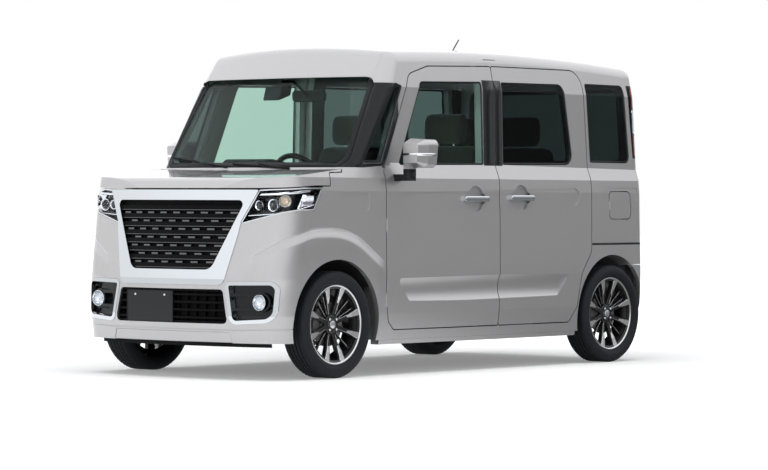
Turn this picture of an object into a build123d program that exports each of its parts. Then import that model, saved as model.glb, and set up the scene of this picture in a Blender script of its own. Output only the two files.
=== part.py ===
"""Kei-class tall wagon, as an assembly of body panels, glass, running gear and cabin pieces.

Units are millimetres. +X is forward, +Y is the car's left and +Z is up. The origin is on the
ground, midway between the front and rear bumper tips, on the centre plane.
"""

import math
import os

from build123d import *

os.makedirs("parts", exist_ok=True)

# ---------------------------------------------------------------- driving sizes
LENGTH = 3395.0
WIDTH = 1475.0
ROOF_HEIGHT = 1785.0
WHEELBASE = 2460.0
FRONT_AXLE_X = 1160.0
REAR_AXLE_X = FRONT_AXLE_X - WHEELBASE
TRACK = 1290.0
TYRE_RADIUS = 281.0
TYRE_WIDTH = 165.0
RIM_RADIUS = 190.5
GAP = 6.0  # shut line between a moving panel and its neighbour
SEAM = 0.6  # joint between two fixed panels
RUNNING = 0.3  # radial clearance round a pin or shaft

# walls
SKIN = 26.0  # bonnet, fenders and bumpers
DOOR_WALL = 92.0  # whole door below the window line
PILLAR_WALL = 46.0  # window frames, pillars and roof rails
ROOF_WALL = 40.0
GLASS = 5.0
GLASS_SET_IN = 5.0  # glass lies this far behind the outer surface

# heights
SKIRT_LOW = 166.0
SILL_LOW = 190.0
DOOR_LOW = 242.0
FLOOR_LOW = 258.0
FLOOR_TOP = 300.0
LOAD_FLOOR_TOP = 556.0
BUMPER_TOP = 563.0

# wheel houses
ARCH_RADIUS = 336.0
ARCH_Z = 285.0
FRONT_ARCH_DEPTH = 350.0  # the house reaches in to this distance from the centre plane
REAR_ARCH_DEPTH = 470.0

PILLAR_X = -213.0
PILLAR_DEPTH = 45.0

HALF_LENGTH = LENGTH / 2
HALF_WIDTH = WIDTH / 2
SIDE_REACH = 900.0
BULKHEAD_X = 822.0
COWL_ALONG = (BULKHEAD_X + SEAM, 1145.0)
COWL_LOW = 1034.0 + SEAM  # rests over the bulkhead's top edge
FLOOR_HALF = 618.0

# hinge lines
DOOR_HINGE = (772.0, 733.5)  # x, y of the vertical axis
BONNET_HINGE = (1057.0, 1096.5)  # x, z
TAILGATE_HINGE = (-1540.0, 1739.5)  # x, z
TAILGATE_LINING_X = -1572.0
TAILGATE_LINING_TOP = 1715.0
LID_HINGE = (-1273.0, 721.5)  # x, y
KINGPIN_FOOT = (600.0, 200.0)  # y, z of the lower ball joint
KINGPIN_LEAN = 12.1  # degrees, top towards the centre plane
HINGE_PIN = GAP / 2 - 0.4

# plan sections of the body below the window line
# height, front, rear, half width, front corner radius, rear corner radius
LOWER_SECTIONS = [
    (SKIRT_LOW, 1682.0, -1680.0, 714.0, 150.0, 95.0),
    (330.0, HALF_LENGTH, -HALF_LENGTH, 731.0, 150.0, 95.0),
    (520.0, 1686.0, -1694.0, HALF_WIDTH, 145.0, 95.0),
    (980.0, 1622.0, -1680.0, 733.0, 125.0, 85.0),
    (1050.0, 1612.0, -1678.0, 727.0, 120.0, 85.0),
    (1132.0, 1600.0, -1676.0, 697.0, 110.0, 75.0),
]
# the same for the window band
UPPER_SECTIONS = [
    (1060.0, 1127.0, -1678.0, 699.0, 95.0, 75.0),
    (1540.0, 824.0, -1644.0, 688.0, 90.0, 75.0),
    (1800.0, 660.0, -1618.0, 636.0, 85.0, 70.0),
]
FRONT_CROWN_LOWER = 2350.0
FRONT_CROWN_UPPER = 2700.0
REAR_CROWN = 5200.0
SIDE_CROWN = 60000.0
ROOF_CROWN_ACROSS = 5500.0
ROOF_CROWN_ALONG = 18000.0
ROOF_PEAK_X = -270.0
ROOF_EDGE_RADIUS = 75.0
ROOF_SEAM_Y = 590.0

# bonnet line: along, height, corner radius
BONNET_LINE = [
    (1760.0, 985.0, 0.0),
    (1608.0, 985.0, 12.0),
    (1566.0, 1046.0, 60.0),
    (1130.0, 1092.0, 300.0),
    (700.0, 1118.0, 0.0),
]

# shut lines, at the middle of the gap: along, height, corner radius
FRONT_DOOR_LINE = [
    (PILLAR_X, DOOR_LOW, 15.0),
    (697.0, DOOR_LOW, 30.0),
    (746.0, 288.0, 40.0),
    (DOOR_HINGE[0], 420.0, 0.0),
    (DOOR_HINGE[0], 1085.0, 20.0),
    (735.0, 1128.0, 30.0),
    (516.0, 1612.0, 70.0),
    (343.0, 1660.0, 120.0),
    (PILLAR_X, 1676.0, 15.0),
]
SLIDING_DOOR_LINE = [
    (PILLAR_X, 1676.0, 15.0),
    (-1050.0, 1678.0, 110.0),
    (-1090.0, 1120.0, 200.0),
    (-1090.0, 640.0, 60.0),
    (-992.0, 520.0, 110.0),
    (-955.0, 330.0, 60.0),
    (-880.0, DOOR_LOW, 20.0),
    (PILLAR_X, DOOR_LOW, 15.0),
]
# window openings
FRONT_DOOR_WINDOW = [(-111.0, 1128.0, 15.0), (630.0, 1120.0, 12.0), (427.0, 1575.0, 30.0), (-108.0, 1588.0, 15.0)]
SLIDING_DOOR_WINDOW = [
    (-950.0, 1136.0, 60.0),
    (-283.0, 1130.0, 15.0),
    (-283.0, 1590.0, 15.0),
    (-866.0, 1595.0, 60.0),
]
FRONT_QUARTER_WINDOW = [(768.0, 1130.0, 12.0), (925.0, 1130.0, 15.0), (640.0, 1560.0, 20.0), (583.0, 1548.0, 10.0)]
REAR_QUARTER_WINDOW = [
    (-1520.0, 1152.0, 40.0),
    (-1116.0, 1152.0, 15.0),
    (-1080.0, 1605.0, 15.0),
    (-1465.0, 1605.0, 40.0),
]
# across, height, corner radius
WINDSCREEN = [(655.0, 1104.0, 60.0), (612.0, 1592.0, 60.0), (-612.0, 1592.0, 60.0), (-655.0, 1104.0, 60.0)]
TAILGATE_LINE = [
    (604.0, BUMPER_TOP, 40.0),
    (632.0, 1130.0, 250.0),
    (596.0, 1860.0, 0.0),
    (-596.0, 1860.0, 0.0),
    (-632.0, 1130.0, 250.0),
    (-604.0, BUMPER_TOP, 40.0),
]
TAILGATE_WINDOW = [(560.0, 1150.0, 60.0), (545.0, 1592.0, 60.0), (-545.0, 1592.0, 60.0), (-560.0, 1150.0, 60.0)]

# nose, seen from the front
GRILLE_OPENING = [(281.0, 568.0, 60.0), (455.0, 930.0, 25.0), (-455.0, 930.0, 25.0), (-281.0, 568.0, 60.0)]
GRILLE_FRAME = [
    (364.0, 489.0, 45.0),
    (429.0, 754.0, 60.0),
    (437.0, 803.0, 20.0),
    (528.0, 984.0, 8.0),
    (-528.0, 984.0, 8.0),
    (-437.0, 803.0, 20.0),
    (-429.0, 754.0, 60.0),
    (-364.0, 489.0, 45.0),
]
# raised middle of the bumper's lower edge
LIP_GROOVE = [
    (-760.0, 263.0, 0.0),
    (-420.0, 256.0, 0.0),
    (420.0, 256.0, 0.0),
    (760.0, 263.0, 0.0),
    (760.0, 268.0, 0.0),
    (420.0, 261.0, 0.0),
    (-420.0, 261.0, 0.0),
    (-760.0, 268.0, 0.0),
]
GROOVE_DEPTH = 6.0
LIP_CUT = [(448.0, 100.0, 0.0), (404.0, 247.0, 12.0), (-404.0, 247.0, 12.0), (-448.0, 100.0, 0.0)]
LOWER_MOUTH = [(398.0, 289.0, 25.0), (362.0, 467.0, 25.0), (-362.0, 467.0, 25.0), (-398.0, 289.0, 25.0)]
FOG_FRAME = 20.0
FOG_LAMP = (576.0, 402.0)
FOG_RADIUS = 52.0
FOG_WALL = 8.0
# headlamp projectors: across, radius, and how far behind the surface they end
LAMP_PROJECTORS = [(600.0, 34.0), (520.0, 26.0)]
PROJECTOR_DEPTH = 32.0
RECESS_DEPTH = 5.0
# long shallow recesses along the side: fender, both doors, quarter
SIDE_RECESSES = [
    [(906.0, 874.0, 30.0), (1192.0, 862.0, 50.0), (1150.0, 966.0, 50.0), (906.0, 971.0, 30.0)],
    [(664.0, 877.0, 47.0), (664.0, 972.0, 47.0), (-968.0, 1004.0, 47.0), (-968.0, 909.0, 47.0)],
    [(-1215.0, 925.0, 40.0), (-1215.0, 1010.0, 40.0), (-1560.0, 1010.0, 0.0), (-1560.0, 925.0, 0.0)],
]
# the crease along the lower doors, from the side and in section
LOWER_CREASE = [(687.0, 516.0, 20.0), (568.0, 384.0, 30.0), (-759.0, 398.0, 30.0), (-881.0, 528.0, 20.0)]
CREASE_SCOOP = [(739.0, 526.0), (717.0, 450.0), (741.0, 376.0)]
# handle place in the side view
CUP_RADIUS = 72.0
CUP_DEPTH = 26.0
CUP_SLOT = (192.0, 60.0)
HANDLE_HALF = 102.0
HANDLE_ALONG = {"front": (4.0, 941.0), "rear": (-411.0, 947.0)}
FOG_BEZEL = [(414.0, 284.0, 45.0), (668.0, 300.0, 70.0), (680.0, 513.0, 50.0), (372.0, 508.0, 30.0)]
LAMP_FRONT_VIEW = [(430.0, 803.0, 8.0), (780.0, 892.0, 0.0), (780.0, 1000.0, 0.0), (526.0, 984.0, 8.0)]
LAMP_SIDE_VIEW = [(1352.0, 870.0, 0.0), (1352.0, 700.0, 0.0), (1760.0, 700.0, 0.0), (1760.0, 1010.0, 0.0), (1272.0, 1010.0, 0.0)]
TAIL_LAMP_SIDE_VIEW = [(-1760.0, 1180.0, 0.0), (-1552.0, 1180.0, 8.0), (-1500.0, 1605.0, 8.0), (-1760.0, 1605.0, 0.0)]
# bumper to fender joint, seen from the side
FRONT_BUMPER_LINE = [
    (1760.0, 100.0, 0.0),
    (1470.0, 100.0, 0.0),
    (1380.0, 577.0, 0.0),
    (1424.0, 603.0, 10.0),
    (1438.0, 659.0, 10.0),
    (1352.0, 866.0, 0.0),
    (1272.0, 1010.0, 0.0),
    (1760.0, 1010.0, 0.0),
]
# the bonnet's edge: seen from the side, and behind from above
BONNET_SIDE_LINE = [
    (1760.0, 986.0, 0.0),
    (1560.0, 990.0, 100.0),
    (1340.0, 1004.0, 100.0),
    (1217.0, 1005.0, 8.0),
    (1217.0, 1075.0, 12.0),
    (800.0, 1088.0, 0.0),
    (800.0, 1300.0, 0.0),
    (1760.0, 1300.0, 0.0),
]
# along, across, corner radius
BONNET_REAR_EDGE = [
    (1150.0, 735.0, 0.0),
    (BONNET_HINGE[0], 655.0, 0.0),
    (BONNET_HINGE[0], 600.0, 0.0),
    (1137.0, 0.0, 3500.0),
]
FUEL_LID_LINE = [
    (-1489.0, 827.0, 35.0),
    (LID_HINGE[0], 827.0, 25.0),
    (LID_HINGE[0], 987.0, 25.0),
    (-1489.0, 987.0, 35.0),
]


# ---------------------------------------------------------------- shape helpers
def plan_section(height, front, rear, half, front_corner, rear_corner, front_crown, inset):
    """One horizontal section of the body, bowed on all four sides, moved in by inset."""
    front, rear, half = front - inset, rear + inset, half - inset
    front_side = front - half**2 / (2 * front_crown)
    rear_side = rear + half**2 / (2 * REAR_CROWN)
    middle = (front_side + rear_side) / 2
    end_half = half - (front_side - middle) ** 2 / (2 * SIDE_CROWN)
    with BuildSketch(Plane.XY.offset(height)) as section:
        with BuildLine():
            ThreePointArc((front_side, -end_half), (front, 0), (front_side, end_half))
            ThreePointArc((front_side, end_half), (middle, half), (rear_side, end_half))
            ThreePointArc((rear_side, end_half), (rear, 0), (rear_side, -end_half))
            ThreePointArc((rear_side, -end_half), (middle, -half), (front_side, -end_half))
        make_face()
        fillet(section.vertices().group_by(Axis.X)[-1], max(front_corner - inset, 20))
        fillet(section.vertices().group_by(Axis.X)[0], max(rear_corner - inset, 20))
    return section.sketch


def outline(plane, corners, grow=0.0):
    """A closed outline from rows of across, up and corner radius, grown on every side."""
    with BuildSketch(plane) as sketch:
        with BuildLine():
            FilletPolyline(
                *[(across, up) for across, up, _ in corners],
                radius=[radius for _, _, radius in corners],
                close=True,
            )
        make_face()
        if grow:
            offset(amount=grow, kind=Kind.INTERSECTION)
    return sketch.sketch


def left_prism(corners, grow=0.0, inner=0.0):
    """Side-view outline (X, Z) pushed through the left side, from SIDE_REACH in to inner."""
    with BuildPart() as prism:
        extrude(outline(Plane.XZ.offset(-SIDE_REACH), corners, grow), SIDE_REACH - inner)
    return prism.part


def both_prism(corners, grow=0.0):
    """Side-view outline (X, Z) pushed through the whole width."""
    with BuildPart() as prism:
        extrude(outline(Plane.XZ, corners, grow), SIDE_REACH, both=True)
    return prism.part


def front_prism(corners, near, far, grow=0.0):
    """Front-view outline (Y, Z) pushed along X from near to far."""
    with BuildPart() as prism:
        extrude(outline(Plane.YZ.offset(near), corners, grow), far - near)
    return prism.part


def block(x, y, z):
    """A box from its lowest and highest X, Y and Z."""
    with BuildPart() as box:
        with Locations(((x[0] + x[1]) / 2, (y[0] + y[1]) / 2, (z[0] + z[1]) / 2)):
            Box(x[1] - x[0], y[1] - y[0], z[1] - z[0])
    return box.part


def across_cylinder(x, z, radius, y_low, y_high):
    """A cylinder along Y."""
    with BuildPart() as cylinder:
        with BuildSketch(Plane.XZ.offset(-y_high)):
            with Locations((x, z)):
                Circle(radius)
        extrude(amount=y_high - y_low)
    return cylinder.part


def upright_cylinder(x, y, radius, low, high):
    """A cylinder along Z."""
    with BuildPart() as cylinder:
        with BuildSketch(Plane.XY.offset(low)):
            with Locations((x, y)):
                Circle(radius)
        extrude(amount=high - low)
    return cylinder.part


def lower_body(inset):
    """The body below the window line."""
    rows = [plan_section(*row, FRONT_CROWN_LOWER, inset) for row in LOWER_SECTIONS]
    with BuildPart() as body:
        loft(rows, ruled=True)
    return body.part


def window_band(inset):
    """The body from the window line up, with the windscreen's slope in front."""
    rows = [plan_section(*row, FRONT_CROWN_UPPER, inset) for row in UPPER_SECTIONS]
    with BuildPart() as body:
        loft(rows, ruled=True)
    return body.part


def roof_block(inset):
    """Everything under the doubly curved roof surface."""
    swing = 8.5
    half = 800.0
    top = ROOF_CROWN_ALONG - inset
    centre = (ROOF_PEAK_X, 0, ROOF_HEIGHT - ROOF_CROWN_ALONG)
    lean = math.radians(swing)
    tilted = Plane(origin=centre, x_dir=(0, 1, 0), z_dir=(math.cos(lean), 0, math.sin(lean)))
    sag = half**2 / (2 * ROOF_CROWN_ACROSS)
    with BuildPart() as body:
        with BuildSketch(tilted):
            with BuildLine():
                crown = ThreePointArc((-half, top - sag), (0, top), (half, top - sag))
                Polyline(crown @ 1, (half, top - 900), (-half, top - 900), crown @ 0)
            make_face()
        revolve(axis=Axis(centre, (0, 1, 0)), revolution_arc=2 * swing)
    return body.part


def above_bonnet(inset):
    """The space over the bonnet line, cut out of the body below the window line."""
    line = [(x, z - inset, radius) for x, z, radius in BONNET_LINE]
    line += [(700.0, 1400.0, 0.0), (1760.0, 1400.0, 0.0)]
    return both_prism(line)


def nose_body(inset):
    """The body below the window line, cut to the bonnet line."""
    with BuildPart() as body:
        add(lower_body(inset))
        add(above_bonnet(inset), mode=Mode.SUBTRACT)
    return body.part


def glass_pane(prism):
    """A curved pane set in behind the window band's surface, cut to a window's outline."""
    with BuildPart() as pane:
        add(window_band(GLASS_SET_IN))
        add(window_band(GLASS_SET_IN + GLASS), mode=Mode.SUBTRACT)
        add(prism, mode=Mode.INTERSECT)
    return pane.part


def right_of(part):
    """The right-hand twin of a left-hand piece."""
    return mirror(part, about=Plane.XZ, mode=Mode.PRIVATE)


# ---------------------------------------------------------------- shared forms
with BuildPart() as outer_form:
    add(window_band(0))
    add(roof_block(0), mode=Mode.INTERSECT)
    fillet(outer_form.faces().sort_by(Axis.Z)[-1].edges(), ROOF_EDGE_RADIUS)
    add(nose_body(0))
outer = outer_form.part

with BuildPart() as cabin_form:
    add(window_band(PILLAR_WALL))
    add(roof_block(ROOF_WALL), mode=Mode.INTERSECT)
    add(lower_body(DOOR_WALL))
    add(block((-2000, BULKHEAD_X), (-SIDE_REACH, SIDE_REACH), (FLOOR_TOP, 1075)), mode=Mode.INTERSECT)
cabin_low = cabin_form.part
with BuildPart() as cabin_upper_form:
    add(window_band(PILLAR_WALL))
    add(roof_block(ROOF_WALL), mode=Mode.INTERSECT)
cabin_high = cabin_upper_form.part

with BuildPart() as left_shell_form:
    add(outer)
    add(block((-1800, 1130), (0, SIDE_REACH), (0, 1900)), mode=Mode.INTERSECT)
    add(cabin_low, mode=Mode.SUBTRACT)
    add(cabin_high, mode=Mode.SUBTRACT)
left_shell = left_shell_form.part

with BuildPart() as nose_form:
    add(nose_body(0))
    add(block((DOOR_HINGE[0] + GAP / 2, 1800), (-SIDE_REACH, SIDE_REACH), (0, 1300)), mode=Mode.INTERSECT)
with BuildPart() as nose_skin_form:
    add(nose_form.part)
    add(nose_body(SKIN), mode=Mode.SUBTRACT)
nose_skin = nose_skin_form.part

windscreen_prism = front_prism(WINDSCREEN, 500, 1300)
tailgate_space = front_prism(TAILGATE_LINE, -1800, TAILGATE_HINGE[0], GAP / 2)
tailgate_prism = front_prism(TAILGATE_LINE, -1800, TAILGATE_HINGE[0] - GAP / 2, -GAP / 2)
grille_frame_prism = front_prism(GRILLE_FRAME, 1400, 1800)
grille_prism = front_prism(GRILLE_OPENING, 1400, 1800)


with BuildPart() as recess_outlines:
    for corners in SIDE_RECESSES:
        add(left_prism(corners, 0, 600))
with BuildPart() as side_recess:
    add(lower_body(-1))
    add(lower_body(RECESS_DEPTH), mode=Mode.SUBTRACT)
    add(recess_outlines.part, mode=Mode.INTERSECT)

with BuildPart() as lower_crease:
    with BuildSketch(Plane.YZ.offset(-900)):
        with BuildLine():
            scoop = ThreePointArc(*CREASE_SCOOP)
            Polyline(scoop @ 1, (780, CREASE_SCOOP[2][1]), (780, CREASE_SCOOP[0][1]), scoop @ 0)
        make_face()
    extrude(amount=1700)
    add(left_prism(LOWER_CREASE, 0, 600), mode=Mode.INTERSECT)


def bonnet_prism(grow):
    """The bonnet's outline from the side and from above."""
    plan = [(1760.0, 800.0, 0.0), (1150.0, 800.0, 0.0)] + BONNET_REAR_EDGE
    plan += [(x, -y, radius) for x, y, radius in plan[-2::-1]]
    with BuildPart() as prism:
        add(both_prism(BONNET_SIDE_LINE, grow))
        with BuildSketch(Plane.XY.offset(900)):
            add(outline(Plane.XY.offset(900), plan, grow))
        extrude(amount=400, mode=Mode.INTERSECT)
    return prism.part


def lamp_prism(grow):
    """The left headlamp's outline from the front and from the side."""
    with BuildPart() as prism:
        add(front_prism(LAMP_FRONT_VIEW, 1100, 1800, grow))
        add(left_prism(LAMP_SIDE_VIEW, grow), mode=Mode.INTERSECT)
    return prism.part


# ---------------------------------------------------------------- side frames and roof
with BuildPart() as fuel_recess:
    add(lower_body(-1))
    add(lower_body(40), mode=Mode.SUBTRACT)
    add(left_prism(FUEL_LID_LINE, GAP / 2, 400), mode=Mode.INTERSECT)

with BuildPart() as nose_ahead:
    add(nose_form.part)
    add(block((BULKHEAD_X, 1800), (-SIDE_REACH, SIDE_REACH), (0, 1300)), mode=Mode.INTERSECT)
    add(window_band(0), mode=Mode.SUBTRACT)

# centre pillar, inside the doors
with BuildPart() as centre_pillar:
    add(lower_body(DOOR_WALL + GAP))
    add(window_band(PILLAR_WALL + GAP))
    add(block((PILLAR_X - 55, PILLAR_X + 55), (560, SIDE_REACH), (FLOOR_TOP + SEAM, 1690)), mode=Mode.INTERSECT)
    add(block((-1800, 1800), (FLOOR_HALF, SIDE_REACH), (0, FLOOR_TOP + 2 * GAP)), mode=Mode.SUBTRACT)
    add(lower_body(DOOR_WALL + GAP + PILLAR_DEPTH), mode=Mode.SUBTRACT)
    add(window_band(PILLAR_WALL + GAP + PILLAR_DEPTH), mode=Mode.SUBTRACT)
    # its head, up into the roof rail
    add(block((PILLAR_X - 55, PILLAR_X + 55), (600, 652), (1684, 1715)))

with BuildPart() as side_frame:
    add(left_shell)
    add(side_recess.part, mode=Mode.SUBTRACT)
    add(block((BULKHEAD_X, 1800), (0, SIDE_REACH), (0, 1060)), mode=Mode.SUBTRACT)
    # floor, bumper, roof panel and tailgate meet the frame here
    add(block((-1800, 1800), (0, FLOOR_HALF + SEAM), (0, LOAD_FLOOR_TOP)), mode=Mode.SUBTRACT)
    add(block((-1800, 1800), (-1, ROOF_SEAM_Y + SEAM), (1560, 1900)), mode=Mode.SUBTRACT)
    add(block((-1800, -1440), (0, SIDE_REACH), (0, BUMPER_TOP + SEAM)), mode=Mode.SUBTRACT)
    add(block((-1800, 1800), (0, SIDE_REACH), (0, SILL_LOW)), mode=Mode.SUBTRACT)
    add(tailgate_space, mode=Mode.SUBTRACT)
    add(nose_skin, mode=Mode.SUBTRACT)
    add(nose_ahead.part, mode=Mode.SUBTRACT)
    # openings
    for line in (FRONT_DOOR_LINE, SLIDING_DOOR_LINE):
        add(left_prism(line, GAP / 2), mode=Mode.SUBTRACT)
    for window in (FRONT_QUARTER_WINDOW, REAR_QUARTER_WINDOW, TAIL_LAMP_SIDE_VIEW):
        add(left_prism(window), mode=Mode.SUBTRACT)
    add(windscreen_prism, mode=Mode.SUBTRACT)
    add(across_cylinder(REAR_AXLE_X, ARCH_Z, ARCH_RADIUS, REAR_ARCH_DEPTH, SIDE_REACH), mode=Mode.SUBTRACT)
    add(across_cylinder(FRONT_AXLE_X, ARCH_Z, ARCH_RADIUS, 0, SIDE_REACH), mode=Mode.SUBTRACT)
    add(centre_pillar.part)
    # door hinges, in the shut line
    for height in (400, 800):
        reach = (height - 35, height + 35)
        add(upright_cylinder(*DOOR_HINGE, HINGE_PIN, *reach))
        add(block((DOOR_HINGE[0] - 1, DOOR_HINGE[0] + 2.4), (660, DOOR_HINGE[1]), reach))
        add(block((DOOR_HINGE[0] - 1, DOOR_HINGE[0] + 9), (660, 695), reach))

with BuildPart() as side_frame_left:
    add(side_frame.part)
    add(fuel_recess.part, mode=Mode.SUBTRACT)
    reach = (880, 934)
    add(upright_cylinder(*LID_HINGE, HINGE_PIN, *reach))
    add(block((LID_HINGE[0] - 1, LID_HINGE[0] + 4), (LID_HINGE[1] - 20, LID_HINGE[1]), reach))
side_frame_left.part.label = "side_frame_left"
export_step(side_frame_left.part, "parts/side_frame_left.step")

with BuildPart() as fuel_lid:
    add(lower_body(0))
    add(lower_body(10), mode=Mode.SUBTRACT)
    add(left_prism(FUEL_LID_LINE, -GAP / 2, 400), mode=Mode.INTERSECT)
    add(side_recess.part, mode=Mode.SUBTRACT)
fuel_lid.part.label = "fuel_lid"
export_step(fuel_lid.part, "parts/fuel_lid.step")

with BuildPart() as side_frame_right:
    add(right_of(side_frame.part))
side_frame_right.part.label = "side_frame_right"
export_step(side_frame_right.part, "parts/side_frame_right.step")

with BuildPart() as roof_panel:
    add(outer)
    add(block((TAILGATE_HINGE[0] + GAP / 2, 900), (-ROOF_SEAM_Y, ROOF_SEAM_Y), (1560, 1900)), mode=Mode.INTERSECT)
    add(cabin_high, mode=Mode.SUBTRACT)
    add(windscreen_prism, mode=Mode.SUBTRACT)
    # hinge barrels of the tailgate
    for side in (-1, 1):
        add(across_cylinder(*TAILGATE_HINGE, HINGE_PIN, side * 90 - 30, side * 90 + 30))
        add(
            block(
                (TAILGATE_HINGE[0], TAILGATE_HINGE[0] + GAP),
                (side * 90 - 30, side * 90 + 30),
                (TAILGATE_HINGE[1] - HINGE_PIN, TAILGATE_HINGE[1]),
            )
        )
roof_panel.part.label = "roof_panel"
export_step(roof_panel.part, "parts/roof_panel.step")

# ---------------------------------------------------------------- nose panels
with BuildPart() as front_fenders:
    add(nose_skin)
    add(side_recess.part, mode=Mode.SUBTRACT)
    add(right_of(side_recess.part), mode=Mode.SUBTRACT)
    add(block((0, 1800), (-SIDE_REACH, SIDE_REACH), (SILL_LOW, 1300)), mode=Mode.INTERSECT)
    add(block((0, 1800), (-600, 600), (0, 1300)), mode=Mode.SUBTRACT)
    add(both_prism(FRONT_BUMPER_LINE, SEAM), mode=Mode.SUBTRACT)
    add(bonnet_prism(GAP / 2), mode=Mode.SUBTRACT)
    add(window_band(-SEAM), mode=Mode.SUBTRACT)
    add(across_cylinder(FRONT_AXLE_X, ARCH_Z, ARCH_RADIUS, -SIDE_REACH, SIDE_REACH), mode=Mode.SUBTRACT)
    for lamp in (lamp_prism(SEAM), right_of(lamp_prism(SEAM))):
        add(lamp, mode=Mode.SUBTRACT)
    # bonnet hinges, in the shut line
    for side in (-1, 1):
        reach = sorted((side * 610, side * 645))
        add(across_cylinder(*BONNET_HINGE, HINGE_PIN, *reach))
        low, high = BONNET_HINGE[1] - HINGE_PIN, BONNET_HINGE[1] - 0.2
        add(block((BONNET_HINGE[0] - 8, BONNET_HINGE[0]), reach, (low, high)))
front_fenders.part.label = "front_fenders"
export_step(front_fenders.part, "parts/front_fenders.step")

with BuildPart() as bonnet:
    add(nose_skin)
    add(bonnet_prism(-GAP / 2), mode=Mode.INTERSECT)
bonnet.part.label = "bonnet"
export_step(bonnet.part, "parts/bonnet.step")

with BuildPart() as lip_groove:
    add(lower_body(-1))
    add(lower_body(GROOVE_DEPTH), mode=Mode.SUBTRACT)
    add(front_prism(LIP_GROOVE, 1400, 1800), mode=Mode.INTERSECT)
with BuildPart() as front_bumper:
    add(nose_skin)
    add(both_prism(FRONT_BUMPER_LINE), mode=Mode.INTERSECT)
    add(block((0, 1800), (-SIDE_REACH, SIDE_REACH), (SILL_LOW, 974)), mode=Mode.INTERSECT)
    add(front_prism(LIP_CUT, 1400, 1800), mode=Mode.SUBTRACT)
    add(lip_groove.part, mode=Mode.SUBTRACT)
    add(bonnet_prism(GAP / 2), mode=Mode.SUBTRACT)
    add(front_prism(GRILLE_FRAME, 1400, 1800, SEAM), mode=Mode.SUBTRACT)
    add(front_prism(LOWER_MOUTH, 1400, 1800), mode=Mode.SUBTRACT)
    for lamp in (lamp_prism(SEAM), right_of(lamp_prism(SEAM))):
        add(lamp, mode=Mode.SUBTRACT)
    for bezel in (FOG_BEZEL, [(-a, b, c) for a, b, c in FOG_BEZEL]):
        add(front_prism(bezel, 1400, 1800, SEAM), mode=Mode.SUBTRACT)
    add(across_cylinder(FRONT_AXLE_X, ARCH_Z, ARCH_RADIUS, -SIDE_REACH, SIDE_REACH), mode=Mode.SUBTRACT)
front_bumper.part.label = "front_bumper"
export_step(front_bumper.part, "parts/front_bumper.step")

with BuildPart() as grille_frame:
    add(nose_body(-4))
    add(nose_body(SKIN), mode=Mode.SUBTRACT)
    add(grille_frame_prism, mode=Mode.INTERSECT)
    add(grille_prism, mode=Mode.SUBTRACT)
    for lamp in (lamp_prism(SEAM), right_of(lamp_prism(SEAM))):
        add(lamp, mode=Mode.SUBTRACT)
    add(bonnet_prism(GAP / 2), mode=Mode.SUBTRACT)
grille_frame.part.label = "grille_frame"
export_step(grille_frame.part, "parts/grille_frame.step")

GRILLE_ROWS = 8
with BuildPart() as grille_rows:
    with Locations(*[(1650, 0, 588 + 43 * row) for row in range(GRILLE_ROWS)]):
        Box(400, 1200, 24)
with BuildPart() as grille_slots:
    add(lower_body(0))
    add(lower_body(30), mode=Mode.SUBTRACT)
    add(grille_rows.part, mode=Mode.SUBTRACT)
with BuildPart() as grille:
    add(lower_body(10))
    add(lower_body(38), mode=Mode.SUBTRACT)
    add(front_prism(GRILLE_OPENING, 1400, 1800, -SEAM), mode=Mode.INTERSECT)
    add(grille_slots.part, mode=Mode.SUBTRACT)
grille.part.label = "grille"
export_step(grille.part, "parts/grille.step")

MOUTH_BARS = 4
with BuildPart() as mouth_slots:
    add(front_prism(LOWER_MOUTH, 1400, 1800, -12))
    add(lower_body(40), mode=Mode.SUBTRACT)
    with Locations(*[(1650, 0, 318 + 40 * row) for row in range(MOUTH_BARS)]):
        Box(400, 900, 11, mode=Mode.SUBTRACT)
    # a boss for the number plate, off centre
    with Locations((1650, -128, 373)):
        Box(400, 250, 90, mode=Mode.SUBTRACT)
with BuildPart() as lower_grille:
    add(lower_body(10))
    add(lower_body(48), mode=Mode.SUBTRACT)
    add(front_prism(LOWER_MOUTH, 1400, 1800, -SEAM), mode=Mode.INTERSECT)
    add(mouth_slots.part, mode=Mode.SUBTRACT)
lower_grille.part.label = "lower_grille"
export_step(lower_grille.part, "parts/lower_grille.step")

LAMP_LENS = 4.0
with BuildPart() as headlamp_left:
    add(nose_body(1))
    add(nose_body(1 + LAMP_LENS), mode=Mode.SUBTRACT)
    add(lamp_prism(0), mode=Mode.INTERSECT)
    add(bonnet_prism(GAP / 2), mode=Mode.SUBTRACT)
with BuildPart() as headlamps:
    add(headlamp_left.part)
    add(right_of(headlamp_left.part))
headlamps.part.label = "headlamps"
export_step(headlamps.part, "parts/headlamps.step")

# the black case behind each headlamp lens, with its bowl and projectors
with BuildPart() as projectors:
    for y, radius in LAMP_PROJECTORS:
        with BuildSketch(Plane.YZ.offset(1400)):
            with Locations((y, 903)):
                Circle(radius)
        extrude(amount=400)
    add(nose_body(PROJECTOR_DEPTH), mode=Mode.INTERSECT)
with BuildPart() as lamp_bowl:
    add(nose_body(0))
    add(nose_body(55), mode=Mode.SUBTRACT)
    add(lamp_prism(-9), mode=Mode.INTERSECT)
    add(projectors.part, mode=Mode.SUBTRACT)
with BuildPart() as lamp_case_left:
    add(nose_body(1 + LAMP_LENS + SEAM))
    add(nose_body(90), mode=Mode.SUBTRACT)
    add(lamp_prism(0), mode=Mode.INTERSECT)
    add(bonnet_prism(GAP / 2), mode=Mode.SUBTRACT)
    add(lamp_bowl.part, mode=Mode.SUBTRACT)
with BuildPart() as lamp_cases:
    add(lamp_case_left.part)
    add(right_of(lamp_case_left.part))
lamp_cases.part.label = "lamp_cases"
export_step(lamp_cases.part, "parts/lamp_cases.step")

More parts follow.
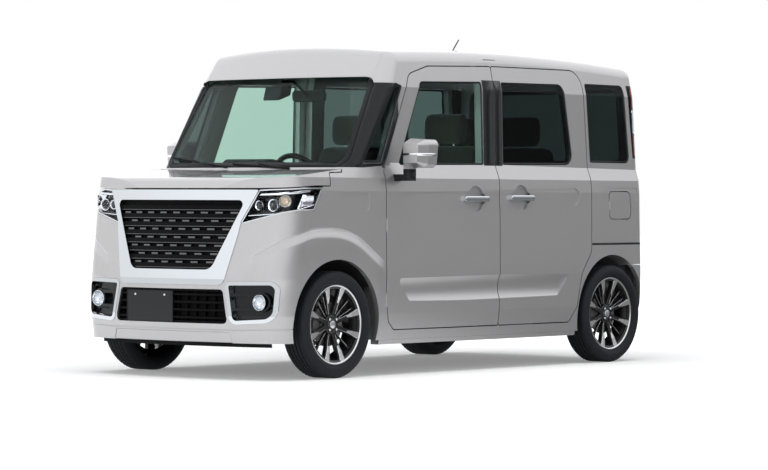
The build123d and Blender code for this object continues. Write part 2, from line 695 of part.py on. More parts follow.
with BuildPart() as fog_bezel_left:
    add(lower_body(-2))
    add(lower_body(34), mode=Mode.SUBTRACT)
    add(front_prism(FOG_BEZEL, 1540, 1800), mode=Mode.INTERSECT)
    add(front_prism(FOG_BEZEL, 1400, 1850, -FOG_FRAME), mode=Mode.SUBTRACT)
with BuildPart() as fog_bezels:
    add(fog_bezel_left.part)
    add(right_of(fog_bezel_left.part))
fog_bezels.part.label = "fog_bezels"
export_step(fog_bezels.part, "parts/fog_bezels.step")

# the pocket: back wall, two bars inboard and the round lamp
with BuildPart() as fog_space:
    add(lower_body(0))
    add(lower_body(42), mode=Mode.SUBTRACT)
    add(front_prism(FOG_BEZEL, 1400, 1800), mode=Mode.INTERSECT)
    for height in (365, 440):
        add(block((1400, 1800), (380, 560), (height - 8, height + 8)), mode=Mode.SUBTRACT)
    with BuildSketch(Plane.YZ.offset(1400)):
        with Locations(FOG_LAMP):
            Circle(FOG_RADIUS)
            Circle(FOG_RADIUS - FOG_WALL, mode=Mode.SUBTRACT)
    extrude(amount=400, mode=Mode.SUBTRACT)
with BuildPart() as fog_lamp_left:
    add(lower_body(14))
    add(lower_body(50), mode=Mode.SUBTRACT)
    add(front_prism(FOG_BEZEL, 1540, 1800, -FOG_FRAME - SEAM), mode=Mode.INTERSECT)
    add(fog_space.part, mode=Mode.SUBTRACT)
with BuildPart() as fog_lamps:
    add(fog_lamp_left.part)
    add(right_of(fog_lamp_left.part))
fog_lamps.part.label = "fog_lamps"
export_step(fog_lamps.part, "parts/fog_lamps.step")

with BuildPart() as cowl_floor:
    add(nose_body(SKIN + SEAM))
    add(block(COWL_ALONG, (-SIDE_REACH, SIDE_REACH), (COWL_LOW, COWL_LOW + 15)), mode=Mode.INTERSECT)

with BuildPart() as cowl:
    add(nose_body(0))
    add(block(COWL_ALONG, (-599, 599), (COWL_LOW, 1300)), mode=Mode.INTERSECT)
    add(window_band(-SEAM), mode=Mode.SUBTRACT)
    add(bonnet_prism(GAP / 2), mode=Mode.SUBTRACT)
    add(cowl_floor.part)
cowl.part.label = "cowl"
export_step(cowl.part, "parts/cowl.step")

# ---------------------------------------------------------------- doors
def door(line, windows, handle):
    """One whole left-hand door between its outer surface and the cabin, with its window cut."""
    with BuildPart() as shell:
        add(left_shell)
        add(left_prism(line, -GAP / 2, 400), mode=Mode.INTERSECT)
        add(block((-1800, 1800), (0, FLOOR_HALF + GAP), (0, FLOOR_TOP + GAP)), mode=Mode.SUBTRACT)
        add(left_prism(windows), mode=Mode.SUBTRACT)
        add(side_recess.part, mode=Mode.SUBTRACT)
        add(lower_crease.part, mode=Mode.SUBTRACT)
        # the hand cup and the bar across it
        along, height = handle
        with BuildSketch(Plane.XZ.offset(-SIDE_REACH)):
            with Locations(handle):
                Circle(CUP_RADIUS)
                SlotOverall(*CUP_SLOT)
        extrude(amount=SIDE_REACH - HALF_WIDTH + CUP_DEPTH, mode=Mode.SUBTRACT)
        add(
            block(
                (along - HANDLE_HALF, along + HANDLE_HALF),
                (HALF_WIDTH - 12, HALF_WIDTH + 9),
                (height - 12, height + 12),
            )
        )
    return shell.part


with BuildPart() as front_door_left:
    add(door(FRONT_DOOR_LINE, FRONT_DOOR_WINDOW, HANDLE_ALONG["front"]))
front_door_left.part.label = "front_door_left"
export_step(front_door_left.part, "parts/front_door_left.step")

with BuildPart() as front_door_right:
    add(right_of(front_door_left.part))
front_door_right.part.label = "front_door_right"
export_step(front_door_right.part, "parts/front_door_right.step")

with BuildPart() as sliding_door_left:
    add(door(SLIDING_DOOR_LINE, SLIDING_DOOR_WINDOW, HANDLE_ALONG["rear"]))
sliding_door_left.part.label = "sliding_door_left"
export_step(sliding_door_left.part, "parts/sliding_door_left.step")

with BuildPart() as sliding_door_right:
    add(right_of(sliding_door_left.part))
sliding_door_right.part.label = "sliding_door_right"
export_step(sliding_door_right.part, "parts/sliding_door_right.step")

# ---------------------------------------------------------------- glass
with BuildPart() as windscreen:
    add(glass_pane(front_prism(WINDSCREEN, 500, 1300, -SEAM)))
windscreen.part.label = "windscreen"
export_step(windscreen.part, "parts/windscreen.step")

with BuildPart() as front_door_glass_left:
    add(glass_pane(left_prism(FRONT_DOOR_WINDOW, -SEAM)))
front_door_glass_left.part.label = "front_door_glass_left"
export_step(front_door_glass_left.part, "parts/front_door_glass_left.step")

with BuildPart() as front_door_glass_right:
    add(right_of(front_door_glass_left.part))
front_door_glass_right.part.label = "front_door_glass_right"
export_step(front_door_glass_right.part, "parts/front_door_glass_right.step")

with BuildPart() as side_glass:
    for window in (SLIDING_DOOR_WINDOW, FRONT_QUARTER_WINDOW, REAR_QUARTER_WINDOW):
        pane = glass_pane(left_prism(window, -SEAM))
        add(pane)
        add(right_of(pane))
side_glass.part.label = "side_glass"
export_step(side_glass.part, "parts/side_glass.step")

# ---------------------------------------------------------------- tail
with BuildPart() as tailgate:
    add(outer)
    add(tailgate_prism, mode=Mode.INTERSECT)
    add(cabin_low, mode=Mode.SUBTRACT)
    add(cabin_high, mode=Mode.SUBTRACT)
    add(block((-1590, 0), (-SIDE_REACH, SIDE_REACH), (0, 1200)), mode=Mode.SUBTRACT)
    add(front_prism(TAILGATE_WINDOW, -1800, -1570), mode=Mode.SUBTRACT)
    # level the inner face round the window's top corners
    add(block((TAILGATE_LINING_X, 0), (-SIDE_REACH, SIDE_REACH), (0, TAILGATE_LINING_TOP)), mode=Mode.SUBTRACT)
tailgate.part.label = "tailgate"
export_step(tailgate.part, "parts/tailgate.step")

with BuildPart() as tailgate_glass:
    add(glass_pane(front_prism(TAILGATE_WINDOW, -1800, -1570, -SEAM)))
tailgate_glass.part.label = "tailgate_glass"
export_step(tailgate_glass.part, "parts/tailgate_glass.step")

with BuildPart() as rear_bumper:
    add(lower_body(0))
    add(lower_body(SKIN), mode=Mode.SUBTRACT)
    add(block((-1800, -1440 - SEAM), (-SIDE_REACH, SIDE_REACH), (245, BUMPER_TOP - GAP / 2)), mode=Mode.INTERSECT)
    add(across_cylinder(REAR_AXLE_X, ARCH_Z, ARCH_RADIUS, -SIDE_REACH, SIDE_REACH), mode=Mode.SUBTRACT)
rear_bumper.part.label = "rear_bumper"
export_step(rear_bumper.part, "parts/rear_bumper.step")

with BuildPart() as tail_lamp_left:
    add(left_shell)
    add(left_prism(TAIL_LAMP_SIDE_VIEW, -SEAM), mode=Mode.INTERSECT)
    add(tailgate_space, mode=Mode.SUBTRACT)
with BuildPart() as tail_lamps:
    add(tail_lamp_left.part)
    add(right_of(tail_lamp_left.part))
tail_lamps.part.label = "tail_lamps"
export_step(tail_lamps.part, "parts/tail_lamps.step")

# ---------------------------------------------------------------- floor and hidden structure
JACK_X = (640.0, -800.0)
JACK_Y = 580.0
JACK_Z = 232.0
with BuildPart() as floor_pan:
    add(block((-1575, -1000), (-FLOOR_HALF, FLOOR_HALF), (LOAD_FLOOR_TOP - 24, LOAD_FLOOR_TOP)))
    add(block((-1575, -1551), (-FLOOR_HALF, FLOOR_HALF), (FLOOR_LOW, LOAD_FLOOR_TOP)))
    for side in (-1, 1):
        near, far = sorted((side * (REAR_ARCH_DEPTH - 8), side * FLOOR_HALF))
        add(across_cylinder(REAR_AXLE_X, ARCH_Z, ARCH_RADIUS + 8, near, far))
        near, far = sorted((side * REAR_ARCH_DEPTH, side * SIDE_REACH))
        add(across_cylinder(REAR_AXLE_X, ARCH_Z, ARCH_RADIUS, near, far), mode=Mode.SUBTRACT)
    add(block((-1800, 1800), (-SIDE_REACH, SIDE_REACH), (0, FLOOR_LOW + 42)), mode=Mode.SUBTRACT)
    add(lower_body(SKIN + SEAM), mode=Mode.INTERSECT)
    add(block((-1024, -1000), (-FLOOR_HALF, FLOOR_HALF), (FLOOR_LOW, LOAD_FLOOR_TOP)))
    add(block((-1000, BULKHEAD_X), (-FLOOR_HALF, FLOOR_HALF), (FLOOR_LOW, FLOOR_TOP)))
    for side in (-1, 1):
        near, far = sorted((side * REAR_ARCH_DEPTH, side * SIDE_REACH))
        add(across_cylinder(REAR_AXLE_X, ARCH_Z, ARCH_RADIUS, near, far), mode=Mode.SUBTRACT)
        for x in JACK_X:
            add(block((x - 40, x + 40), sorted((side * (JACK_Y - 25), side * (JACK_Y + 25))), (JACK_Z, FLOOR_LOW)))
floor_pan.part.label = "floor_pan"
export_step(floor_pan.part, "parts/floor_pan.step")

with BuildPart() as side_skirt_left:
    add(lower_body(0))
    add(block((-950, 812), (655, SIDE_REACH), (SKIRT_LOW, SILL_LOW - SEAM)), mode=Mode.INTERSECT)
with BuildPart() as side_skirts:
    add(side_skirt_left.part)
    add(right_of(side_skirt_left.part))
side_skirts.part.label = "side_skirts"
export_step(side_skirts.part, "parts/side_skirts.step")

TOWER_Z = 742.0
RAIL_Y = 275.0
with BuildPart() as front_structure:
    add(block((BULKHEAD_X, BULKHEAD_X + 22), (-638, 638), (FLOOR_LOW, 1034)))
    for side in (-1, 1):
        add(block((BULKHEAD_X, 1575), sorted((side * RAIL_Y, side * 340)), (330, 430)))
        add(block((BULKHEAD_X, 1440), sorted((side * 560, side * 610)), (900, 940)))
        add(block((1410, 1440), sorted((side * RAIL_Y, side * 610)), (900, 940)))
        add(block((1410, 1440), sorted((side * RAIL_Y, side * 340)), (240, 940)))
        add(block((1090, 1230), sorted((side * 410, side * 610)), (TOWER_Z, TOWER_Z + 14)))
        add(block((1090, 1230), sorted((side * 590, side * 610)), (TOWER_Z, 940)))
    add(block((1575, 1600), (-345, 345), (350, 440)))
    add(block((1410, 1440), (-340, 340), (240, 280)))
    add(block((1410, 1440), (-340, 340), (900, 940)))
front_structure.part.label = "front_structure"
export_step(front_structure.part, "parts/front_structure.step")

with BuildPart() as radiator:
    add(block((1410, 1436), (-270, 270), (280.5, 700)))
radiator.part.label = "radiator"
export_step(radiator.part, "parts/radiator.step")

with BuildPart() as arch_liner_left:
    add(across_cylinder(FRONT_AXLE_X, ARCH_Z, ARCH_RADIUS + 7, FRONT_ARCH_DEPTH - 5, SIDE_REACH))
    add(across_cylinder(FRONT_AXLE_X, ARCH_Z, ARCH_RADIUS + 1, FRONT_ARCH_DEPTH, SIDE_REACH + 1), mode=Mode.SUBTRACT)
    add(nose_body(SKIN + SEAM), mode=Mode.INTERSECT)
    add(block((BULKHEAD_X + 22 + SEAM, 1467), (0, 900), (FLOOR_LOW, 900)), mode=Mode.INTERSECT)
    add(block((0, 1800), (0, 900), (0, 470)), mode=Mode.SUBTRACT)
    add(block((1120, 1200), (0, 590), (0, 900)), mode=Mode.SUBTRACT)
with BuildPart() as arch_liners:
    add(arch_liner_left.part)
    add(right_of(arch_liner_left.part))
arch_liners.part.label = "arch_liners"
export_step(arch_liners.part, "parts/arch_liners.step")

with BuildPart() as engine:
    with Locations((1150, 0, 560)):
        Box(480, 520, 440)
    fillet(engine.edges().filter_by(Axis.Z), 40)
    # engine mounts, out to the rails
    add(block((1120, 1180), (-RAIL_Y + SEAM, RAIL_Y - SEAM), (350, 420)))
engine.part.label = "engine"
export_step(engine.part, "parts/engine.step")

with BuildPart() as fuel_tank:
    with Locations((-450, 0, 216)):
        Box(620, 700, 83)
    fillet(fuel_tank.edges().filter_by(Axis.Z), 60)
fuel_tank.part.label = "fuel_tank"
export_step(fuel_tank.part, "parts/fuel_tank.step")

# ---------------------------------------------------------------- running gear
HUB_RADIUS = 62.0
STUB_RADIUS = 20.0
DISC_RADIUS = 116.0
SPOKE_PAIRS = 4
SPOKE_SPREAD = 17.0  # half the angle between the two spokes of a pair
# radius, out from the wheel's centre plane
RIM_PROFILE = [
    (208, 64), (208, 58), (RIM_RADIUS, 42), (176, 20), (176, -34), (RIM_RADIUS, -46), (208, -58), (208, -64),
    (184, -44), (170, -30), (170, 16), (186, 54),
]
TYRE_PROFILE = [
    (208.6, 57.5), (238, 82.5), (268, 75), (TYRE_RADIUS, 46), (TYRE_RADIUS, -46), (268, -75), (238, -82.5), (208.6, -57.5),
]


def ring(profile, x, y, out):
    """A profile of radius and outward distance turned round a wheel's axle."""
    with BuildPart() as body:
        with BuildSketch(Plane.YZ):
            with BuildLine():
                Polyline(*[(y + out * across, TYRE_RADIUS + radius) for radius, across in profile], close=True)
            make_face()
        revolve(axis=Axis((0, 0, TYRE_RADIUS), (0, 1, 0)))
    return Pos(x, 0, 0) * body.part


with BuildSketch() as spoke:
    with BuildLine():
        Polyline((40, -16), (181, -23), (181, 23), (40, 16), close=True)
    make_face()


def wheel(x, y, out):
    """Rim, spokes, hub and brake disc in one piece."""
    with BuildPart() as body:
        add(ring(RIM_PROFILE, x, y, out))
        low, high = sorted((y + out * 14, y + out * 46))
        add(across_cylinder(x, TYRE_RADIUS, HUB_RADIUS, low, high))
        face = Plane(origin=(x, high, TYRE_RADIUS), x_dir=(1, 0, 0), z_dir=(0, -1, 0))
        with BuildSketch(face):
            for turn in (-SPOKE_SPREAD, SPOKE_SPREAD):
                with PolarLocations(0, SPOKE_PAIRS, start_angle=turn):
                    add(spoke.sketch)
        extrude(amount=30)
        low, high = sorted((y - out * 9, y + out * 9))
        add(across_cylinder(x, TYRE_RADIUS, DISC_RADIUS, low, high))
        low, high = sorted((y - out * 20, y + out * 20))
        add(across_cylinder(x, TYRE_RADIUS, 45, low, high))
        low, high = sorted((y - out * 60, y + out * 10))
        add(across_cylinder(x, TYRE_RADIUS, STUB_RADIUS + RUNNING, low, high), mode=Mode.SUBTRACT)
    return body.part


for end, x in (("front", FRONT_AXLE_X), ("rear", REAR_AXLE_X)):
    for hand, out in (("left", 1), ("right", -1)):
        with BuildPart() as rim:
            add(wheel(x, out * TRACK / 2, out))
        rim.part.label = f"wheel_{end}_{hand}"
        export_step(rim.part, f"parts/wheel_{end}_{hand}.step")
        with BuildPart() as tyre:
            add(ring(TYRE_PROFILE, x, out * TRACK / 2, out))
        tyre.part.label = f"tyre_{end}_{hand}"
        export_step(tyre.part, f"parts/tyre_{end}_{hand}.step")


def kingpin_plane(out, height):
    """A plane square to the leaning kingpin line, at a height on it."""
    lean = math.radians(KINGPIN_LEAN)
    y = KINGPIN_FOOT[0] - (height - KINGPIN_FOOT[1]) * math.tan(lean)
    return Plane(origin=(FRONT_AXLE_X, out * y, height), x_dir=(1, 0, 0), z_dir=(0, -out * math.sin(lean), math.cos(lean)))


HUB_Y = KINGPIN_FOOT[0] - (TYRE_RADIUS - KINGPIN_FOOT[1]) * math.tan(math.radians(KINGPIN_LEAN))
for hand, out in (("left", 1), ("right", -1)):
    with BuildPart() as knuckle:
        with BuildSketch(kingpin_plane(out, KINGPIN_FOOT[1])):
            Circle(22)
        extrude(amount=150)
        add(across_cylinder(FRONT_AXLE_X, TYRE_RADIUS, 30, *sorted((out * HUB_Y, out * (TRACK / 2 - 24)))))
        add(across_cylinder(FRONT_AXLE_X, TYRE_RADIUS, STUB_RADIUS, *sorted((out * HUB_Y, out * (TRACK / 2 + 9)))))
    knuckle.part.label = f"knuckle_{hand}"
    export_step(knuckle.part, f"parts/knuckle_{hand}.step")

with BuildPart() as front_suspension:
    add(block((1060, 1240), (-340, 340), (200, 240)))
    for out in (-1, 1):
        foot = kingpin_plane(out, KINGPIN_FOOT[1] - 0.3)
        with BuildSketch(foot):
            Circle(20)
        extrude(amount=-30)
        add(block((1140, 1180), sorted((out * 330, out * 590)), (172, 192)))
        add(block((1140, 1180), sorted((out * 330, out * 340)), (172, 240)))
        with BuildSketch(kingpin_plane(out, KINGPIN_FOOT[1] + 147.5)):
            Circle(20)
        extrude(amount=520)
    add(block((1000, 1300), (-700, 700), (TOWER_Z, 1300)), mode=Mode.SUBTRACT)
front_suspension.part.label = "front_suspension"
export_step(front_suspension.part, "parts/front_suspension.step")

with BuildPart() as rear_axle:
    add(block((-1230, -1170), (-540, 540), (215, 256)))
    for out in (-1, 1):
        # the arm's front bush, up to the floor
        add(block((-930, -880), sorted((out * 490, out * 540)), (215, FLOOR_LOW - SEAM)))
        add(block((REAR_AXLE_X - 40, -880), sorted((out * 490, out * 540)), (215, 256)))
        add(block((REAR_AXLE_X - 40, REAR_AXLE_X + 40), sorted((out * 490, out * 540)), (215, 320)))
        add(across_cylinder(REAR_AXLE_X, TYRE_RADIUS, 30, *sorted((out * 520, out * (TRACK / 2 - 24)))))
        add(across_cylinder(REAR_AXLE_X, TYRE_RADIUS, STUB_RADIUS, *sorted((out * 520, out * (TRACK / 2 + 9)))))
rear_axle.part.label = "rear_axle"
export_step(rear_axle.part, "parts/rear_axle.step")

with BuildPart() as exhaust:
    with Locations((-1440, -250, 330)):
        Box(180, 420, 140)
    fillet(exhaust.edges().filter_by(Axis.Y), 50)
    # hangers
    for y in (-120, -380):
        add(block((-1455, -1425), (y - 15, y + 15), (380, LOAD_FLOOR_TOP - 24 - SEAM)))
exhaust.part.label = "exhaust"
export_step(exhaust.part, "parts/exhaust.step")

# ---------------------------------------------------------------- cabin
with BuildPart() as dashboard:
    with BuildSketch(Plane.XZ.offset(-615)):
        with BuildLine():
            FilletPolyline(
                (BULKHEAD_X - SEAM, 640), (BULKHEAD_X - SEAM, 1060), (700, 1098), (520, 1060), (470, 900), (620, 640),
                radius=[0, 20, 60, 50, 60, 40], close=True,
            )
        make_face()
    extrude(amount=1230)
    with BuildSketch(Plane.XZ.offset(230)):
        with BuildLine():
            FilletPolyline((700, 1080), (620, 1160), (480, 1140), (460, 960), (700, 960), radius=[0, 50, 30, 10, 0], close=True)
        make_face()
    extrude(amount=330)
dashboard.part.label = "dashboard"
export_step(dashboard.part, "parts/dashboard.step")

# ---------------------------------------------------------------- steering wheel
WHEEL_CENTRE = (230.0, -340.0, 1025.0)
COLUMN_TILT = math.radians(62)
column = Plane(
    origin=WHEEL_CENTRE, x_dir=(0, 1, 0), z_dir=(-math.sin(COLUMN_TILT), 0, math.cos(COLUMN_TILT))
)
rim_cut = Plane(
    origin=WHEEL_CENTRE, x_dir=(0, 1, 0), z_dir=(math.cos(COLUMN_TILT), 0, math.sin(COLUMN_TILT))
)
with BuildPart() as steering_wheel:
    with BuildSketch(rim_cut):
        with Locations((175, 0)):
            RegularPolygon(15, 6)
    revolve(axis=Axis(WHEEL_CENTRE, tuple(column.z_dir)))
    with BuildSketch(column):
        Rectangle(350, 40)
        Rectangle(45, 175, align=(Align.CENTER, Align.MIN))
    extrude(amount=-16)
    with BuildSketch(column):
        RegularPolygon(72, 8)
    extrude(amount=-40)
    with BuildSketch(column):
        RegularPolygon(30, 8)
    extrude(amount=-300)
    add(dashboard.part, mode=Mode.SUBTRACT)
steering_wheel.part.label = "steering_wheel"
export_step(steering_wheel.part, "parts/steering_wheel.step")

# place of each seat: along, across
SEATS = [(90, 340), (90, -340), (-740, 228), (-740, -228)]
with BuildPart() as seats:
    for x, y in SEATS:
        with BuildSketch(Plane.XZ.offset(-(y + 225))):
            with BuildLine():
                FilletPolyline(
                    (x + 250, FLOOR_TOP + SEAM), (x + 270, 690), (x - 190, 680), (x - 270, 1240), (x - 370, 1240),
                    (x - 330, 640), (x - 250, 575), (x - 250, FLOOR_TOP + SEAM),
                    radius=[0, 60, 60, 40, 40, 60, 20, 0], close=True,
                )
            make_face()
        extrude(amount=450)
        with Locations((x - 315, y, 1320)):
            Box(90, 250, 200)
seats.part.label = "seats"
export_step(seats.part, "parts/seats.step")

with BuildPart() as antenna:
    with BuildSketch(Plane.XZ.offset(-13)):
        with BuildLine():
            Polyline((-660, 1765), (-690, 1792), (-718, 1797), (-745, 1765), close=True)
        make_face()
    extrude(amount=26)
    add(outer, mode=Mode.SUBTRACT)
    # the rod leans back
    with BuildSketch(Plane(origin=(-705, 0, 1788), x_dir=(0, 1, 0), z_dir=(-66, 0, 76))):
        RegularPolygon(3.5, 6)
    extrude(amount=100)
antenna.part.label = "antenna"
export_step(antenna.part, "parts/antenna.step")

# ---------------------------------------------------------------- door mirrors
with BuildPart() as door_mirror_left:
    with BuildSketch(Plane.YZ.offset(590)):
        with BuildLine():
            FilletPolyline(
                (782, 1102), (922, 1106), (935, 1255), (779, 1262), radius=[26, 34, 34, 30], close=True,
            )
        make_face()
    extrude(amount=75)
    extrude(door_mirror_left.faces().sort_by(Axis.X)[-1], amount=62, taper=22)
    # the arm, down to the door
    add(block((640, 700), (692, 822), (1036, 1070)))
    add(block((640, 700), (785, 822), (1036, 1125)))
    add(outer, mode=Mode.SUBTRACT)
door_mirror_left.part.label = "door_mirror_left"
export_step(door_mirror_left.part, "parts/door_mirror_left.step")

with BuildPart() as door_mirror_right:
    add(right_of(door_mirror_left.part))
door_mirror_right.part.label = "door_mirror_right"
export_step(door_mirror_right.part, "parts/door_mirror_right.step")
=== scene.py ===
# %% [markdown]
# # A tall kei-class wagon
# The solids of the car come in as a fixed frame. This lesson dresses them:
# paint, glass, rubber and cloth first, then the small pieces that repeat,
# such as grille slats, tread blocks and wheel nuts.

# %% Load the frame
import bpy, bmesh, math
import numpy as np
from mathutils import Matrix, Vector
from mathutils.bvhtree import BVHTree


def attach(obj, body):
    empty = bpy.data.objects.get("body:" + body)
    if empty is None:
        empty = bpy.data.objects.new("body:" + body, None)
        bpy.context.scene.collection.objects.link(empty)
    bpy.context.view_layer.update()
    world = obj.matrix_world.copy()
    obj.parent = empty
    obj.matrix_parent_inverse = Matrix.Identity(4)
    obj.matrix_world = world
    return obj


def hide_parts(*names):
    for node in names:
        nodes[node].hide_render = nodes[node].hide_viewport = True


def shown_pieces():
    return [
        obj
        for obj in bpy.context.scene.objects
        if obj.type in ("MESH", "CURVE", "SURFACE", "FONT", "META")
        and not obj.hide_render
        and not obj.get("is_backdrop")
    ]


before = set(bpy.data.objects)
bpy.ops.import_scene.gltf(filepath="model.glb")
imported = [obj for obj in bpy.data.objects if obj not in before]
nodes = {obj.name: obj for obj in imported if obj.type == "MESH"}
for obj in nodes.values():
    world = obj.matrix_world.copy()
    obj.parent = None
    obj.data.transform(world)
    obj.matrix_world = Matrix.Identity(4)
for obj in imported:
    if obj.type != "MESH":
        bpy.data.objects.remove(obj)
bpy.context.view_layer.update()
HANDS = (("left", 1), ("right", -1))  # each side's name and the sign of Y there


def count_named(*words):
    """How many pieces so far have one of these words in their names."""
    return len([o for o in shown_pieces() if any(word in o.name for word in words)])



# %% [markdown]
# The camera stands far off to the front left, a little under a metre high,
# with a long lens. A long lens keeps the wheels round and the sides nearly
# parallel, which is how a car is usually shown. Its place comes from three
# angles: round the car, up or down, and a slight roll.

# %% Camera
CAMERA_PLACE = Vector((14.44996, 11.95109, 0.93240))
CAMERA_ROUND, CAMERA_PITCH, CAMERA_ROLL = (math.radians(a) for a in (39.409, -0.5995, 0.213))
LENS_MM, SENSOR_MM = 156.24, 36.0

forward = Vector((-math.cos(CAMERA_ROUND) * math.cos(CAMERA_PITCH),
                  -math.sin(CAMERA_ROUND) * math.cos(CAMERA_PITCH), math.sin(CAMERA_PITCH)))
level_right = Vector((-math.sin(CAMERA_ROUND), math.cos(CAMERA_ROUND), 0))
level_up = level_right.cross(forward)
right = math.cos(CAMERA_ROLL) * level_right + math.sin(CAMERA_ROLL) * level_up
up = right.cross(forward)
camera = bpy.data.objects.new("camera", bpy.data.cameras.new("camera"))
bpy.context.collection.objects.link(camera)
camera.matrix_world = Matrix((right, up, -forward)).transposed().to_4x4()
camera.location = CAMERA_PLACE
camera.data.sensor_width, camera.data.lens, camera.data.clip_end = SENSOR_MM, LENS_MM, 200
bpy.context.scene.camera = camera
print("camera at", tuple(round(c, 2) for c in camera.location))

# %% [markdown]
# Node trees are built with three short helpers, so that each line says what goes
# into what.

# %% Node helpers
def add_node(tree, kind, **settings):
    """A new node. A key in_X sets the input named or numbered X, or links a socket to it."""
    n = tree.nodes.new(kind)
    for key, value in settings.items():
        if not key.startswith("in_"):
            setattr(n, key, value)
            continue
        name = key[3:].replace("_", " ")
        socket = n.inputs[int(name) if name.isdigit() else name]
        if isinstance(value, bpy.types.NodeSocket):
            tree.links.new(value, socket)
        else:
            socket.default_value = value
    return n


def math_node(tree, operation, *values):
    inputs = {f"in_{k}": value for k, value in enumerate(values)}
    return add_node(tree, "ShaderNodeMath", operation=operation, **inputs).outputs[0]


def ramp_node(tree, value, start, end, low, high):
    """A smooth change from low to high while value goes from start to end."""
    return add_node(tree, "ShaderNodeMapRange", interpolation_type="SMOOTHSTEP", in_Value=value, in_From_Min=start,
                    in_From_Max=end, in_To_Min=low, in_To_Max=high).outputs[0]


print("node helpers", add_node.__name__, math_node.__name__, ramp_node.__name__)

# %% [markdown]
# The studio is a pale floor and a pale sky. The sky is white to the camera and
# in reflections, and softer for the light it gives.
#
# One side of the room is darker in reflections up to a little above the horizon, so
# the car's upright side reads darker than its front and than the faces that lean back.

# %% Sky
DARK_SIDE = (-0.77, 0.64, 0.0)


def ray_kinds(tree):
    """1 for rays that look at the room, and 1 for the reflections among them."""
    rays = tree.nodes.new("ShaderNodeLightPath").outputs
    straight = math_node(tree, "MAXIMUM", rays["Is Camera Ray"], rays["Is Glossy Ray"])
    return math_node(tree, "MAXIMUM", straight, rays["Is Transmission Ray"]), rays["Is Glossy Ray"]


def toward_dark_side(tree, vector):
    return add_node(tree, "ShaderNodeVectorMath", operation="DOT_PRODUCT", in_0=vector,
                    in_1=DARK_SIDE).outputs["Value"]


world = bpy.data.worlds.new("studio")
bpy.context.scene.world = world
world.use_nodes = True
wt = world.node_tree
wt.nodes.clear()
looks, reflects = ray_kinds(wt)
direction = wt.nodes.new("ShaderNodeTexCoord").outputs["Generated"]
upward = add_node(wt, "ShaderNodeSeparateXYZ", in_0=direction).outputs["Z"]
sky = add_node(wt, "ShaderNodeValToRGB", in_0=upward)
first, last = sky.color_ramp.elements
first.position, first.color = 0.08, (1, 1, 1, 1)
last.position, last.color = 1.0, (1.15, 1.16, 1.18, 1)
for height, tone in ((0.22, 1.35), (0.60, 1.30)):
    sky.color_ramp.elements.new(height).color = (tone, tone, tone * 1.01, 1)
dark = math_node(wt, "MULTIPLY", ramp_node(wt, toward_dark_side(wt, direction), 0.3, 0.95, 0.0, 0.68),
                 ramp_node(wt, upward, 0.05, 0.45, 1.0, 0.0))
level = math_node(wt, "SUBTRACT", 1.0, math_node(wt, "MULTIPLY", dark, reflects))
light = add_node(wt, "ShaderNodeBackground", in_Color=(0.95, 0.97, 1, 1), in_Strength=0.34)
shown = add_node(wt, "ShaderNodeBackground", in_Color=sky.outputs[0], in_Strength=level)
mix = add_node(wt, "ShaderNodeMixShader", in_0=looks, in_1=light.outputs[0], in_2=shown.outputs[0])
add_node(wt, "ShaderNodeOutputWorld", in_0=mix.outputs[0])
print("nodes in the sky", len(wt.nodes))

# %% [markdown]
# Large area lamps, one above, one at the side and one in front, draw the long
# highlights that show how panels curve. A large lamp gives soft shadows, like the
# tent of white cloth that cars are pictured in.

# %% Lamps
LAMPS = (  # name, place, target, size, watts
    ("lamp_top", (0.5, 0.5, 6.5), (0, 0, 0.8), (8, 5), 430),
    ("lamp_left", (-2.5, 8.5, 3.4), (-0.2, 0, 0.7), (7, 3), 85),
    ("lamp_front", (9.0, 1.5, 3.0), (1.2, 0, 0.7), (5, 3), 190),
)
for name, place, target, size, watts in LAMPS:
    lamp = bpy.data.objects.new(name, bpy.data.lights.new(name, "AREA"))
    bpy.context.collection.objects.link(lamp)
    lamp.data.shape, lamp.data.energy = "RECTANGLE", watts
    lamp.data.size, lamp.data.size_y = size
    lamp.location = place
    lamp.visible_glossy = False  # reflections show the studio, not the lamp's hard edge
    lamp.rotation_euler = (Vector(target) - Vector(place)).to_track_quat("-Z", "Y").to_euler()
print("lamps", len(LAMPS))

# %% [markdown]
# The floor is pale and matt. Away from the car it fades up to the same white as the
# sky, so no edge shows, and on the dark side of the room it is darker in reflections.

# %% Floor
FLOOR_REACH = 60
floor_mesh = bpy.data.meshes.new("floor")
floor_mesh.from_pydata([(FLOOR_REACH * x, FLOOR_REACH * y, 0) for x, y in ((-1, -1), (1, -1), (1, 1), (-1, 1))],
                       [], [(0, 1, 2, 3)])
floor = bpy.data.objects.new("floor", floor_mesh)
bpy.context.collection.objects.link(floor)
floor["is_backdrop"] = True

pale = bpy.data.materials.new("studio_floor")
pale.use_nodes = True
ft = pale.node_tree
looks, reflects = ray_kinds(ft)
spot = ft.nodes.new("ShaderNodeTexCoord").outputs["Object"]
away = add_node(ft, "ShaderNodeVectorMath", operation="LENGTH", in_0=spot).outputs["Value"]
lit = math_node(ft, "MULTIPLY", ramp_node(ft, away, 1.5, 6.0, 0.24, 1.0), looks)
dark = math_node(ft, "MULTIPLY", ramp_node(ft, toward_dark_side(ft, spot), 0.4, 2.2, 0.0, 0.85), reflects)
tint = add_node(ft, "ShaderNodeMix", data_type="RGBA", in_A=(0.80, 0.80, 0.80, 1), in_B=(0.06, 0.06, 0.06, 1),
                in_Factor=dark)
glow = math_node(ft, "MULTIPLY", lit, math_node(ft, "SUBTRACT", 1.0, dark))
matt = ft.nodes["Principled BSDF"].inputs
matt["Roughness"].default_value, matt["Specular IOR Level"].default_value = 1.0, 0.0
matt["Emission Color"].default_value = (1, 1, 1, 1)
ft.links.new(tint.outputs["Result"], matt["Base Color"])
ft.links.new(glow, matt["Emission Strength"])
floor_mesh.materials.append(pale)
bpy.context.scene.view_settings.view_transform = "Standard"
print("nodes in the floor", len(ft.nodes))

